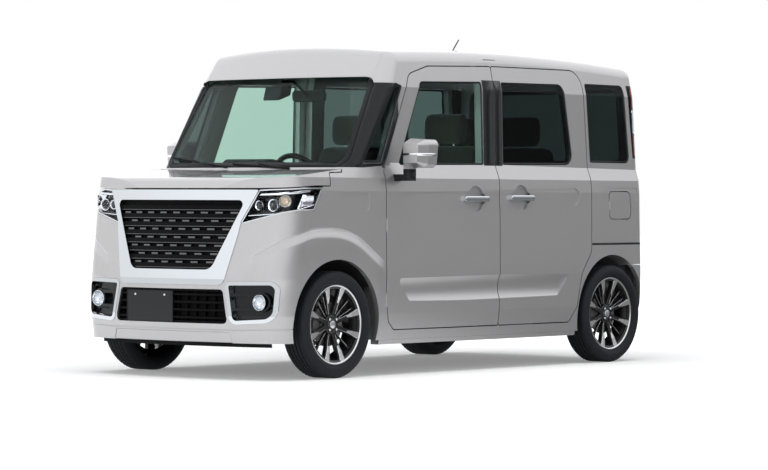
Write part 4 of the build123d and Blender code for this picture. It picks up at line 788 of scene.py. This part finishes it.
plate_x = nose_x(PLATE_Y, PLATE_Z, 0.010) + 0.0035
plate = make("number_plate_front", prism(rounded_face(plate_x, PLATE_Y, PLATE_Z, *PLATE_SIZE, PLATE_CORNER),
                                         (-0.010, 0, 0), (PLATE_FRONT, 0, 0)), gloss_black, bevel=0.0012)
face_x = plate_x + PLATE_FRONT
edge = rounded_face(face_x, PLATE_Y, PLATE_Z, *PLATE_SIZE, PLATE_CORNER)
inner = rounded_face(face_x, PLATE_Y, PLATE_Z, *(size - 0.010 for size in PLATE_SIZE), 0.006)
raised = Vector((0.0016, 0, 0))
rim = skin([[a, Vector(a) + raised, Vector(b) + raised, b] for a, b in zip(edge, inner)], closed=True)
make("number_plate_front_rim", rim, satin_black)
screws = join(*[lathe(SCREW, (face_x, PLATE_Y + y, PLATE_Z + z), steps=20) for y, z in SCREW_PLACES])
make("number_plate_front_screws", screws, chrome)

# %% [markdown]
# Each headlamp is a clear cover over a dark case. Inside are two projector lenses
# with bright rims, and a bright bowl with an amber bulb beside them. Light that
# bends inside the cover and the lenses is what makes a lamp look deep.

# %% Headlamps
amber = glass("amber_lens", (0.97, 0.80, 0.62), roughness=0.1, ior=1.3)
lamp_glow = finish("lamp_reflector", (0.86, 0.87, 0.89), roughness=0.12, metallic=1.0, depth=0.0)
DOME = [(0.0001, -0.012), (0.0240, -0.012), (0.0245, -0.004), (0.0235, 0.002), (0.0195, 0.0085), (0.0120, 0.0135),
        (0.0050, 0.0155), (0.0001, 0.0158)]
RING = [(0.0250, -0.016), (0.0335, -0.016), (0.0345, 0.002), (0.0325, 0.006), (0.0275, 0.004), (0.0252, -0.004)]
BOWL = [(0.0001, -0.026), (0.010, -0.025), (0.022, -0.019), (0.031, -0.008), (0.036, 0.006), (0.0345, 0.006),
        (0.0295, -0.008), (0.021, -0.0175), (0.0095, -0.0235), (0.0001, -0.0245)]
BULB = [(0.0001, -0.024), (0.0040, -0.023), (0.0046, -0.012), (0.0036, -0.005), (0.0001, -0.003)]
PROJECTORS = ((0.600, 1.0), (0.520, 0.78))  # place across, size
PROJECTOR_Z = 0.903
BOWL_PLACE, BOWL_SIZE = (1.520, 0.668, 0.925), 0.86


def scaled(profile, size):
    return [(r * size, ahead * size) for r, ahead in profile]


for hand, out in HANDS:
    places = [((nose_x(y, PROJECTOR_Z, 0.022) - 0.002, out * y, PROJECTOR_Z), size) for y, size in PROJECTORS]
    for name, profile, material, slot in (("lenses", DOME, lens, "lamp_glass"), ("rings", RING, lamp_glow, "chrome")):
        parts = join(*[lathe(scaled(profile, size), centre) for centre, size in places])
        make(f"projector_{name}_{hand}", parts, material)
    ahead = Vector((0.75, out * 0.66, 0)).normalized()
    x, y, z = BOWL_PLACE
    where = ((x, out * y, z), ahead, ahead.orthogonal(), 40)
    make(f"lamp_bowl_{hand}", lathe(scaled(BOWL, BOWL_SIZE), *where), chrome)
    make(f"turn_bulb_{hand}", lathe(BULB, *where), amber)
print("lamp pieces", count_named("lamp", "projector", "bulb"))

# %% [markdown]
# The fog lamps are round, deep in a black pocket, and stand inside a bright frame.
# A bright bowl, a domed lens and a small bulb are each lathed round a line along the
# car, as they would be turned or pressed in a factory.

# %% Fog lamps
FOG_Y, FOG_Z = 0.576, 0.402
FOG_BOWL = [(0.0001, -0.022), (0.020, -0.021), (0.033, -0.014), (0.0395, 0.000), (0.0425, 0.002), (0.0425, 0.006),
            (0.0405, 0.0085), (0.0385, 0.0075), (0.0375, 0.002), (0.031, -0.012), (0.019, -0.0185),
            (0.0001, -0.0195)]
FOG_LENS = [(0.0001, 0.0105), (0.012, 0.0100), (0.026, 0.0080), (0.0380, 0.0040), (0.0380, 0.0015), (0.026, 0.0050),
            (0.012, 0.0072), (0.0001, 0.0078)]
FOG_BULB = [(0.0001, -0.021), (0.0060, -0.020), (0.0070, -0.008), (0.0058, 0.000), (0.0001, 0.0025)]
for hand, out in HANDS:
    centre = (nose_x(FOG_Y, FOG_Z, 0.012), out * FOG_Y, FOG_Z)
    make(f"fog_bowl_{hand}", lathe(FOG_BOWL, centre), chrome)
    make(f"fog_lens_{hand}", lathe(FOG_LENS, centre), lens)
    make(f"fog_bulb_{hand}", lathe(FOG_BULB, centre, steps=24), lens)
print("fog lamp pieces", count_named("fog"))

# %% [markdown]
# A pane of car glass has a black fired-on border that hides its glue, and rubber
# round it. Each border here is the pane's own outer face, taken from the frame
# and cut down to a ring, so it follows the same curve.

# %% Patches from the frame
def outer_faces(node, outward, least):
    """A merged copy of the node's mesh with only the faces that look outward."""
    b = bmesh.new()
    b.from_mesh(nodes[node].data)
    bmesh.ops.remove_doubles(b, verts=b.verts, dist=2e-5)
    bmesh.ops.delete(b, geom=[f for f in b.faces if f.normal.dot(outward) < least], context="FACES")
    return b


def finish_patch(b, name, material, body, lift, thickness):
    b.normal_update()
    normals = {v: v.normal.copy() for v in b.verts}
    for v, n in normals.items():
        v.co += n * lift
    obj = new_object(name, [], [], [])
    b.to_mesh(obj.data)
    b.free()
    obj.data.materials.clear()
    obj.data.materials.append(material)
    obj.data.shade_smooth()
    mod = obj.modifiers.new("wall", "SOLIDIFY")
    mod.thickness, mod.offset = thickness, -1.0
    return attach(obj, body)


def ring_patch(node, outward, width, name, material, body="car_body", part=None, lift=0.0004):
    """The outer face's border, as wide as width. part picks one pane where a node has several."""
    b = outer_faces(node, Vector(outward), 0.2)
    if part:
        others = [f for f in b.faces if not part(f.calc_center_median())]
        bmesh.ops.delete(b, geom=others, context="FACES")
    border = bmesh.ops.inset_region(b, faces=b.faces[:], thickness=width, use_even_offset=True, use_boundary=True)
    keep = set(border["faces"])
    bmesh.ops.delete(b, geom=[f for f in b.faces if f not in keep], context="FACES")
    return finish_patch(b, name, material, body, lift, 0.0005)


def cut_patch(node, outward, limits, name, material, body="car_body", lift=0.0008, least=0.35, cuts=()):
    """The outward faces inside limits, given as rows of (axis, lowest, highest), and behind each of
    the slanting cuts, given as rows of (point, normal)."""
    b = outer_faces(node, Vector(outward), least)
    planes = list(cuts)
    for axis, low, high in limits:
        for place, sign in ((low, -1), (high, 1)):
            planes.append([[number if k == axis else 0 for k in range(3)] for number in (place, sign)])
    for point, normal in planes:
        bmesh.ops.bisect_plane(b, geom=b.verts[:] + b.edges[:] + b.faces[:], plane_co=point, plane_no=normal,
                               clear_outer=True)
    return finish_patch(b, name, material, body, lift, 0.0010)


def one_side(out, near, far):
    """Limits across the car, between two distances out from the middle."""
    return 1, *sorted((out * near, out * far))


pane = outer_faces("windscreen", Vector((1, 0, 0)), 0.3)
print("faces on the outside of the windscreen", len(pane.faces))
pane.free()

# %% Glass borders
SIDE_PANES = (("sliding", lambda x: -1.0 < x < 0), ("front_quarter", lambda x: x > 0),
              ("rear_quarter", lambda x: x < -1.0))
ring_patch("windscreen", (0.85, 0, 0.5), 0.032, "windscreen_border", satin_black)
ring_patch("tailgate_glass", (-1, 0, 0.1), 0.022, "tailgate_glass_border", satin_black, "tailgate_body")
for hand, out in HANDS:
    ring_patch(f"front_door_glass_{hand}", (0, out, 0.1), 0.010, f"front_door_glass_border_{hand}", satin_black,
               f"front_door_{hand}_body")
    for place, test in SIDE_PANES:
        ring_patch("side_glass", (0, out, 0.1), 0.012, f"{place}_glass_border_{hand}", satin_black,
                   part=lambda c: test(c.x) and c.y * out > 0)
print("borders", count_named("border"))

# %% [markdown]
# Between the side windows the door frames wear a gloss black film, so that the glass
# seems to run on without a break. So do the slim pillars beside the windscreen.

# %% Pillar film
FILM_LOW, FILM_TOP = 1.125, 1.597
for hand, out in HANDS:
    for node, forward_look, body, name, limits in (
            ("front_door", 0, f"front_door_{hand}_body", "front_door",
             [(0, -0.2098, -0.113), (2, FILM_LOW, FILM_TOP)]),
            ("sliding_door", 0, "car_body", "sliding_door", [(0, -0.281, -0.2162), (2, FILM_LOW, FILM_TOP)]),
            ("side_frame", 0.3, "car_body", "windscreen", [(0, 0.62, 1.10), (2, 1.105, 1.560)])):
        cut_patch(f"{node}_{hand}", (forward_look, out, 0), limits, f"pillar_film_{name}_{hand}",
                          gloss_black, body, lift=0.0006)
print("films", count_named("pillar_film"))

# %% [markdown]
# Behind each headlamp's cover there is a bright plate at the outer end, a shelf on
# top and a thin strip below. They are the cover's own curve, set a centimetre in and
# cut to slanting outlines, so they stay level with it from end to end.

# %% Lamp plates
LAMP_PLATES = (  # name, how deep, limits on height, slanting cuts in side view
    ("reflector", -0.012, [(2, 0.880, 0.962)],
     [((1.446, 0, 0.915), (0.86, 0, 0.50)), ((1.312, 0, 0.935), (-0.92, 0, -0.40))]),
    ("shelf", -0.010, [],
     [((1.590, 0, 0.952), (-0.096, 0, -1.0)), ((1.590, 0, 0.966), (0.096, 0, 1.0)),
      ((1.335, 0, 0.9), (-1, 0, 0))]),
    ("strip", -0.007, [],
     [((1.600, 0, 0.846), (-0.222, 0, -1.0)), ((1.600, 0, 0.851), (0.222, 0, 1.0))]),
)
for hand, out in HANDS:
    ring_patch("headlamps", (0.7, out * 0.7, 0), 0.007, f"lamp_edge_{hand}", chrome,
                       part=lambda c: c.y * out > 0, lift=0.0005)
    for name, lift, limits, cuts in LAMP_PLATES:
        cut_patch("headlamps", (0.7, out * 0.7, 0), [one_side(out, 0.3, 0.9), *limits],
                          f"lamp_{name}_{hand}", lamp_glow, lift=lift, least=0.0, cuts=cuts)
print("lamp plates", count_named(*(f"lamp_{row[0]}" for row in LAMP_PLATES), "lamp_edge"))

# %% [markdown]
# Seats are foam under cloth. Each cushion and back starts as a coarse cage of
# rounded sections, and a subdivision surface turns it into a crowned, pulled-in
# form. Sewn channels are sections drawn in a little. The weave is a fine crossed
# wave in the material.

# %% Seat cloth
cloth = finish("seat_cloth", (0.060, 0.056, 0.052), (0.040, 0.038, 0.036), roughness=0.92, depth=0.0,
               Sheen_Weight=0.35, Sheen_Roughness=0.5, Specular_IOR_Level=0.2)
ct = cloth.node_tree
spot = ct.nodes.new("ShaderNodeTexCoord").outputs["Object"]
threads = []
for degrees in (45, -45):
    mapped = add_node(ct, "ShaderNodeMapping", in_Vector=spot, in_Rotation=(0, 0, math.radians(degrees)))
    threads.append(add_node(ct, "ShaderNodeTexWave", wave_type="BANDS", bands_direction="DIAGONAL",
                            in_Vector=mapped.outputs[0], in_Scale=260.0, in_Distortion=0.6).outputs["Fac"])
weave = add_node(ct, "ShaderNodeBump", in_Strength=0.5, in_Distance=0.0010,
                 in_Height=math_node(ct, "MULTIPLY", *threads))
ct.links.new(weave.outputs["Normal"], ct.nodes["Principled BSDF"].inputs["Normal"])
print("nodes in the cloth", len(ct.nodes))

# %% Seats
PAD_ROWS = [(-1.0, 0.80), (-0.985, 0.93), (-0.86, 0.99), (-0.55, 1.0), (-0.50, 0.965), (-0.45, 1.0), (0.0, 1.0),
            (0.45, 1.0), (0.50, 0.965), (0.55, 1.0), (0.86, 0.99), (0.985, 0.93), (1.0, 0.80)]  # across, size
SEATS = {"driver": (0.090, -0.340), "passenger": (0.090, 0.340), "rear_left": (-0.740, 0.228),
         "rear_right": (-0.740, -0.228)}
FLOOR = 0.301
SEAT_HALF = 0.190
# side sections of (along, up), along from the seat's own place
CUSHION = [(0.262, 0.560), (0.270, 0.640), (0.235, 0.684), (0.120, 0.690), (0.0, 0.686), (-0.12, 0.684),
           (-0.190, 0.680), (-0.235, 0.640), (-0.245, 0.575), (-0.10, 0.540), (0.10, 0.535)]
BACK = [(-0.205, 0.690), (-0.196, 0.760), (-0.205, 0.860), (-0.226, 0.980), (-0.246, 1.100), (-0.268, 1.200),
        (-0.290, 1.238), (-0.338, 1.240), (-0.366, 1.215), (-0.366, 1.080), (-0.352, 0.880), (-0.330, 0.700),
        (-0.270, 0.670)]
HEAD = [(-0.272, 1.262), (-0.270, 1.330), (-0.276, 1.395), (-0.300, 1.418), (-0.335, 1.418), (-0.357, 1.390),
        (-0.358, 1.310), (-0.345, 1.255), (-0.305, 1.240)]
BASE = [(0.235, FLOOR), (0.245, 0.560), (-0.225, 0.590), (-0.235, FLOOR)]


def pad(name, place, section, width):
    """A padded piece: a side section repeated across, narrowing at its two sides and drawn in at the seams."""
    section = [(place[0] + x, z) for x, z in section]
    mid_x, mid_z = (float(mean) for mean in np.mean(section, axis=0))
    cage = skin([[(mid_x + (x - mid_x) * size, place[1] + across * width / 2, mid_z + (z - mid_z) * size)
                  for x, z in section] for across, size in PAD_ROWS])
    obj = make(name, cage, cloth)
    mod = obj.modifiers.new("soft", "SUBSURF")
    mod.levels = mod.render_levels = 2
    return obj


for name, (x, y) in SEATS.items():
    seat = pad(f"seat_cushion_{name}", (x, y), CUSHION, 0.450)
    if name == "driver":
        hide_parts("seats")
    pad(f"seat_back_{name}", (x, y), BACK, 0.450)
    pad(f"headrest_{name}", (x, y), HEAD, 0.250)
    make(f"seat_base_{name}", slab([(x + along, y, z) for along, z in BASE], SEAT_HALF), cabin, bevel=0.012)
print("seat pieces", count_named("seat_", "headrest"))

# %% [markdown]
# Headrests stand on two chromed posts. A post, like a column or a wiper's arm, is a
# round bar along a path, so one helper makes them all. It carries each ring's
# direction on from the last one, which keeps the bar from twisting.

# %% Bars and headrest posts
def tube(name, path, radius, material, body="car_body", sides=16, closed=False):
    """A round bar along a smooth path of points."""
    path = [Vector(p) for p in path]
    n = len(path)
    rings, side = [], None
    for i, p in enumerate(path):
        a, b = path[i - 1 if (i or closed) else 0], path[(i + 1) % n if (i < n - 1 or closed) else n - 1]
        t = (b - a).normalized()
        side = t.orthogonal().normalized() if side is None else (side - t * side.dot(t)).normalized()
        other = t.cross(side)
        turns = [2 * math.pi * k / sides for k in range(sides)]
        rings.append([p + radius * (math.cos(a) * side + math.sin(a) * other) for a in turns])
    return make(name, skin(rings, closed), material, body)


for name, (x, y) in SEATS.items():
    for k, side in enumerate((-0.055, 0.055)):
        tube(f"headrest_post_{name}_{k}", [(x - 0.318, y + side, 1.20), (x - 0.316, y + side, 1.30)], 0.006, chrome)
print("posts", count_named("headrest_post"))

# %% [markdown]
# The steering wheel shows through the windscreen. Its rim is a closed bar in leather,
# and the pad and three spokes are flat outlines given a thickness. All are drawn in
# the wheel's own plane, which leans toward the driver.

# %% Steering wheel
WHEEL_CENTRE, WHEEL_TILT, WHEEL_RADIUS = Vector((0.230, -0.340, 1.025)), math.radians(62), 0.175
wheel_axis = Vector((-math.sin(WHEEL_TILT), 0, math.cos(WHEEL_TILT)))
wheel_side = Vector((0, 1, 0))
wheel_up = wheel_axis.cross(wheel_side)
FULL_TURN = 2 * math.pi
SPOKE_PLATES = ([(-0.168, -0.016), (-0.06, -0.024), (-0.06, 0.024), (-0.168, 0.014)],
                [(0.168, -0.016), (0.168, 0.014), (0.06, 0.024), (0.06, -0.024)],
                [(-0.022, 0.168), (-0.026, 0.05), (0.026, 0.05), (0.022, 0.168)])
leather = finish("wheel_leather", (0.016, 0.016, 0.017), (0.025, 0.025, 0.026), roughness=0.5, depth=0.8,
                 grain_scale=1600, Specular_IOR_Level=0.35)


def on_wheel(a, b, out=0.0):
    return WHEEL_CENTRE + a * wheel_side + b * wheel_up + out * wheel_axis


def plate_on(name, corners, low, high, material, bevel):
    shape = prism([on_wheel(a, b, low) for a, b in corners], (0, 0, 0), (high - low) * wheel_axis)
    return make(name, shape, material, bevel=bevel)


rim_path = [on_wheel(WHEEL_RADIUS * math.cos(a), WHEEL_RADIUS * math.sin(a))
            for a in np.linspace(0, FULL_TURN, 72, endpoint=False)]
steering_rim = tube("steering_rim", rim_path, 0.0155, leather, closed=True)
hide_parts("steering_wheel")
plate_on("steering_pad", [(0.0756 * math.cos(a), 0.060 * math.sin(a) - 0.004)
                          for a in np.linspace(0, FULL_TURN, 24, endpoint=False)], -0.045, 0.010, cabin, 0.010)
for k, corners in enumerate(SPOKE_PLATES):
    plate_on(f"steering_spoke_{k}", corners, -0.018, -0.002, satin_black, 0.003)
tube("steering_column", [on_wheel(0, 0, -0.03), on_wheel(0, 0, -0.295)], 0.030, cabin)
print("steering pieces", count_named("steering"))

# %% [markdown]
# A few more things fill the cabin: a mirror and a camera box behind the windscreen, a
# gear lever, and the fins of the air vents. They are seen from far off through
# glass, so each is as plain as its outline allows.

# %% Mirror, lever and vents
MIRROR = (0.545, 0, 1.500)
make("cabin_mirror_case", prism(rounded_face(*MIRROR, 0.235, 0.062, 0.020), (0, 0, 0), (0.022, 0, 0.003)), cabin,
     bevel=0.006)
make("cabin_mirror_face", prism(rounded_face(*MIRROR, 0.222, 0.050, 0.016), (-0.0015, 0, 0), (0.0005, 0, 0)),
     lamp_glow, bevel=0.0004)
tube("cabin_mirror_stalk", [(0.572, 0, 1.504), (0.620, 0, 1.535), (0.690, 0, 1.578), (0.790, 0, 1.575)], 0.007,
     satin_black)
camera_box = prism([(0.815, 0, 1.470), (0.790, 0, 1.548), (0.700, 0, 1.560), (0.715, 0, 1.500)], (0, -0.115, 0),
                   (0, 0.005, 0))
make("camera_box", camera_box, satin_black, bevel=0.008)
LEVER_Y = -0.060
tube("gear_lever", [(0.600, LEVER_Y, 0.960), (0.520, LEVER_Y, 1.000), (0.455, LEVER_Y, 1.030)], 0.009, satin_black)
KNOB = [(0.0001, -0.045), (0.014, -0.042), (0.021, -0.025), (0.020, -0.005), (0.012, 0.006), (0.0001, 0.008)]
make("gear_knob", lathe(KNOB, (0.452, LEVER_Y, 1.032), steps=32), gloss_black)
VENTS = [(-0.520, 0.935), (0.520, 0.935), (0.100, 0.950), (-0.120, 0.950)]
VENT_HALF, FIN_STEP = 0.055, 0.014
FIN = ((0.488, -0.021), (0.480, -0.017), (0.500, -0.012), (0.505, -0.017))  # along, up from the vent's middle
fins = [slab([(x, y, z + FIN_STEP * k + rise) for x, rise in FIN], VENT_HALF) for y, z in VENTS for k in range(4)]
make("air_vents", join(*fins), satin_black, smooth=False)

# %% [markdown]
# The door handles are bright bars over hollows in the doors. Each is a skin over five
# lozenge outlines, because a lozenge keeps its round ends at every depth.

# %% Door handles
HANDLES = {"front": (0.004, 0.941), "rear": (-0.411, 0.947)}
BAR_HALF, BAR_ROUND = 0.1085, 0.0145
BAR_STATIONS = ((0.7245, 0.0), (0.7300, 0.0005), (0.7468, 0.0005), (0.7490, -0.0025), (0.7500, -0.0065))


def bar_outline(half, height):
    """A long lozenge with rounded ends, from the side."""
    ends = [(sign, math.radians(start + 22.5 * k)) for sign, start in ((1, -90), (-1, 90)) for k in range(9)]
    return [(sign * (half - height) + height * math.cos(a), height * math.sin(a)) for sign, a in ends]


for place, (x, z) in HANDLES.items():
    for hand, out in HANDS:
        body = f"front_door_{hand}_body" if place == "front" else "car_body"
        bar = skin([[(x + a, out * y, z + b) for a, b in bar_outline(BAR_HALF + grow, BAR_ROUND + grow)]
                    for y, grow in BAR_STATIONS])
        make(f"{place}_door_handle_{hand}", bar, chrome, body)
print("handles", count_named("handle"))

# %% [markdown]
# A wiper is an arm on a pivot and a rubber blade that lies along the glass. A formula
# for the windscreen's curve keeps both a few millimetres off it.

# %% Wipers
SCREEN_ROWS = [(1.060, 1.127), (1.540, 0.824), (1.800, 0.660)]
SCREEN_BOW = 2.7
ARM_LIFT, ARM_RADIUS, BLADE_LIFT, BLADE_RADIUS = 0.0070, 0.0042, 0.0060, 0.0048
PIVOT_PROFILE = [(0.0001, -0.012), (0.016, -0.012), (0.017, 0.004), (0.012, 0.012), (0.0001, 0.013)]


def on_screen(y, z, lift):
    """A point a little ahead of the windscreen's outer face."""
    x = float(np.interp(z, [r[0] for r in SCREEN_ROWS], [r[1] for r in SCREEN_ROWS]))
    return x - y * y / (2 * SCREEN_BOW) + lift, y, z


def wiper(name, pivot, tip, blade_from, blade_to):
    x, y, z = pivot
    arm = [pivot, (x + 0.010, y * 0.98, z + 0.016)]
    arm += [on_screen(y + (tip[0] - y) * t, z + 0.02 + (tip[1] - z - 0.02) * t, ARM_LIFT) for t in (0.3, 0.65, 1.0)]
    tube(name + "_arm", arm, ARM_RADIUS, satin_black, sides=10)
    ends = np.array((blade_from, blade_to))
    blade = [on_screen(*(float(c) for c in ends[0] + (ends[1] - ends[0]) * t), BLADE_LIFT)
             for t in np.linspace(0, 1, 14)]
    tube(name + "_blade", blade, BLADE_RADIUS, rough_black, sides=8)
    make(name + "_pivot", lathe(PIVOT_PROFILE, pivot, steps=24), satin_black)


wiper("wiper_driver", (1.075, -0.180, 1.078), (-0.420, 1.150), (-0.120, 1.108), (-0.600, 1.160))
wiper("wiper_passenger", (1.070, 0.330, 1.078), (0.100, 1.126), (0.320, 1.100), (-0.080, 1.124))
print("wiper pieces", count_named("wiper"))

# %% [markdown]
# Each door mirror has a glass, a lamp strip and a black foot, and the sliding doors
# hang on a rail in the side. Strips cut from the frame's own faces follow its curves
# better than new shapes would.

# %% Door mirrors and slide rails
MIRROR_X = 0.5905
EVERY_FACE = -2  # lower than the dot product of any two directions
MIRROR_CORNERS = ((0.794, 1.112), (0.912, 1.116), (0.922, 1.245), (0.791, 1.252))
for hand, out in HANDS:
    mirror, body = f"door_mirror_{hand}", f"front_door_{hand}_body"
    face = [(MIRROR_X, out * y, z) for y, z in MIRROR_CORNERS]
    make(f"mirror_glass_{hand}", prism(face, (-0.0025, 0, 0), (0.001, 0, 0)), lamp_glow, body, bevel=0.0009)
    cut_patch(mirror, (0.9, out * 0.4, 0), [(2, 1.168, 1.182), (0, 0.60, 0.76)], f"mirror_lamp_{hand}",
                      lamp_glow, body, least=-0.1)
    cut_patch(mirror, (0, out, 0), [(2, 1.02, 1.098)], f"mirror_foot_{hand}", satin_black, body,
                      least=EVERY_FACE)
    cut_patch(f"side_frame_{hand}", (0, out, 0), [(0, -1.612, -1.096), (2, 0.679, 0.691)],
                      f"slide_rail_cover_{hand}", satin_black)
print("mirror and rail pieces", count_named("mirror_", "rail"))

# %% [markdown]
# Under the bumper's mouth the paint ends in a lip, and a dark tray closes the space
# behind it. Both follow the nose's surface from side to side.

# %% Under the nose
LIP_CORNERS = (  # height, half width, how far behind the nose
    (0.192, 0.4195, 0.002), (0.2475, 0.4030, 0.002), (0.2475, 0.4030, 0.030), (0.192, 0.4195, 0.030))
lip = skin([[on_nose(y * half, z, depth) for z, half, depth in LIP_CORNERS] for y in np.linspace(-1, 1, 33)])
make("nose_lip", lip, paint, bevel=0.004)
make("nose_undertray", nose_band(0.600, 0.186, 0.036, 0.060, 0.066), rough_black, smooth=False)
print("pieces under the nose", count_named("nose_"))

# %% [markdown]
# The tailgate carries a blank number plate and a long chromed handle. A line cast
# at the frame from behind finds the surface that each of them sits on, so they
# follow its curve without any measuring by hand.

# %% Rear plate
red = finish("red_reflector", (0.42, 0.010, 0.012), (0.34, 0.008, 0.010), roughness=0.18, depth=0.0,
             Coat_Weight=0.6)
surfaces = {}


def from_behind(y, z, off=0.0, node="tailgate"):
    """Where a line from behind the car first meets a node of the frame, and off further back."""
    if node not in surfaces:
        mesh = nodes[node].data
        surfaces[node] = BVHTree.FromPolygons([v.co for v in mesh.vertices], [f.vertices for f in mesh.polygons])
    return surfaces[node].ray_cast(Vector((-3.0, y, z)), Vector((1, 0, 0)))[0] - Vector((off, 0, 0))


REAR_PLATE_Z, REAR_PLATE_OUT, REAR_PLATE_IN = 0.800, 0.0060, 0.0040
behind = from_behind(0, REAR_PLATE_Z).x
rear_plate = prism(rounded_face(behind, 0, REAR_PLATE_Z, *PLATE_SIZE, PLATE_CORNER), (-REAR_PLATE_OUT, 0, 0),
                   (REAR_PLATE_IN, 0, 0))
make("number_plate_rear", rear_plate, gloss_black, "tailgate_body", bevel=0.0012)
rear_screws = join(*[lathe([(r, -ahead) for r, ahead in SCREW], (behind - REAR_PLATE_OUT, y, REAR_PLATE_Z + z),
                           steps=20) for y, z in SCREW_PLACES])
make("number_plate_rear_screws", rear_screws, chrome, "tailgate_body")
print("the plate sits at", round(behind, 3))

# %% Tailgate handle
HANDLE_HALF, HANDLE_LOW, HANDLE_HIGH = 0.290, 0.902, 0.948
rings = []
for y in np.linspace(-HANDLE_HALF, HANDLE_HALF, 17):
    x = from_behind(y, (HANDLE_LOW + HANDLE_HIGH) / 2).x
    rings.append([(x + 0.004, y, HANDLE_LOW), (x - 0.015, y, HANDLE_LOW + 0.006),
                  (x - 0.018, y, HANDLE_HIGH - 0.004), (x + 0.004, y, HANDLE_HIGH)])
make("tailgate_handle", skin(rings), chrome, "tailgate_body", bevel=0.003)
print("handle length", 2 * HANDLE_HALF)

# %% [markdown]
# The rear wiper parks low across the glass. Its arm leaves the pivot on the tailgate
# and crosses onto the glass, so its points are found on both.

# %% Rear wiper
REAR_PIVOT = [(0.0001, 0.008), (0.020, 0.008), (0.020, -0.010), (0.013, -0.020), (0.0001, -0.021)]
make("rear_wiper_pivot", lathe(REAR_PIVOT, from_behind(0, 1.105), steps=24), satin_black, "tailgate_body")
arm = [from_behind(0, 1.105, 0.014), from_behind(-0.060, 1.128, 0.020)]
arm += [from_behind(y, z, 0.020, "tailgate_glass") for y, z in ((-0.130, 1.160), (-0.200, 1.186))]
tube("rear_wiper_arm", arm, 0.0050, satin_black, "tailgate_body", sides=10)
blade = [from_behind(y, 1.178, 0.0080, "tailgate_glass") for y in np.linspace(-0.360, -0.040, 9)]
tube("rear_wiper_blade", blade, 0.0060, rough_black, "tailgate_body", sides=8)
print("rear wiper pieces", count_named("rear_wiper"))

# %% [markdown]
# A tail lamp is a clear cover with coloured reflectors inside: red above and below, and
# bright between. They are patches of the cover itself, set one centimetre in, and a
# black patch behind them keeps the cabin from showing through.

# %% Tail lamps
TAIL_PARTS = (("low", 1.200, 1.318, red), ("middle", 1.324, 1.466, lamp_glow), ("high", 1.472, 1.590, red))
for hand, out in HANDS:
    side = one_side(out, 0.4, 0.9)
    for part, low, high, shine in TAIL_PARTS:
        cut_patch("tail_lamps", (-1, out * 0.2, 0), [side, (2, low, high)], f"tail_lamp_{part}_{hand}",
                          shine, lift=-0.010, least=0.5)
    cut_patch("tail_lamps", (0.75, -out * 0.66, 0), [side], f"tail_lamp_back_{hand}", satin_black,
                      least=0.25)
    cut_patch("rear_bumper", (-1, 0, 0), [one_side(out, 0.500, 0.600), (2, 0.325, 0.352)],
                      f"rear_reflector_{hand}", red, lift=0.0015, least=0.5)
print("tail lamp pieces", count_named("tail_lamp", "rear_reflector"))

# %% [markdown]
# At its two top corners the tailgate's surface is carried up to the roof by a small
# painted skin. Its rings of points stand where that surface would be.

# %% Tailgate corners
CORNER_HEIGHTS = (1.690, 1.695, 1.705, 1.712)
CORNER_STATIONS = (  # place across, top, and how far back the surface is at each of the heights
    (0.480, 1.7120, (1.5945, 1.5910, 1.5800, 1.5680)), (0.500, 1.7120, (1.5915, 1.5870, 1.5750, 1.5620)),
    (0.520, 1.7118, (1.5885, 1.5840, 1.5710, 1.5560)), (0.540, 1.7112, (1.5845, 1.5800, 1.5660, 1.5480)),
    (0.560, 1.7090, (1.5810, 1.5760, 1.5600, 1.5430)), (0.580, 1.7070, (1.5765, 1.5710, 1.5540, 1.5380)),
    (0.595, 1.7052, (1.5740, 1.5690, 1.5490, 1.5340)),
)
CORNER_OUT, CORNER_IN = 0.0003, 0.0080  # how far each skin reaches outside and inside that surface
for hand, out in HANDS:
    rings = []
    for y, top, depths in CORNER_STATIONS:
        rise = np.linspace(CORNER_HEIGHTS[0], top, 4)
        column = [(-float(np.interp(z, CORNER_HEIGHTS, depths)), float(z)) for z in rise]
        rings.append([(x - CORNER_OUT, out * y, z) for x, z in column]
                     + [(x + CORNER_IN, out * y, z) for x, z in column[::-1]])
    make(f"tailgate_corner_{hand}", skin(rings), paint, "tailgate_body")
print("corner skins", count_named("tailgate_corner"))
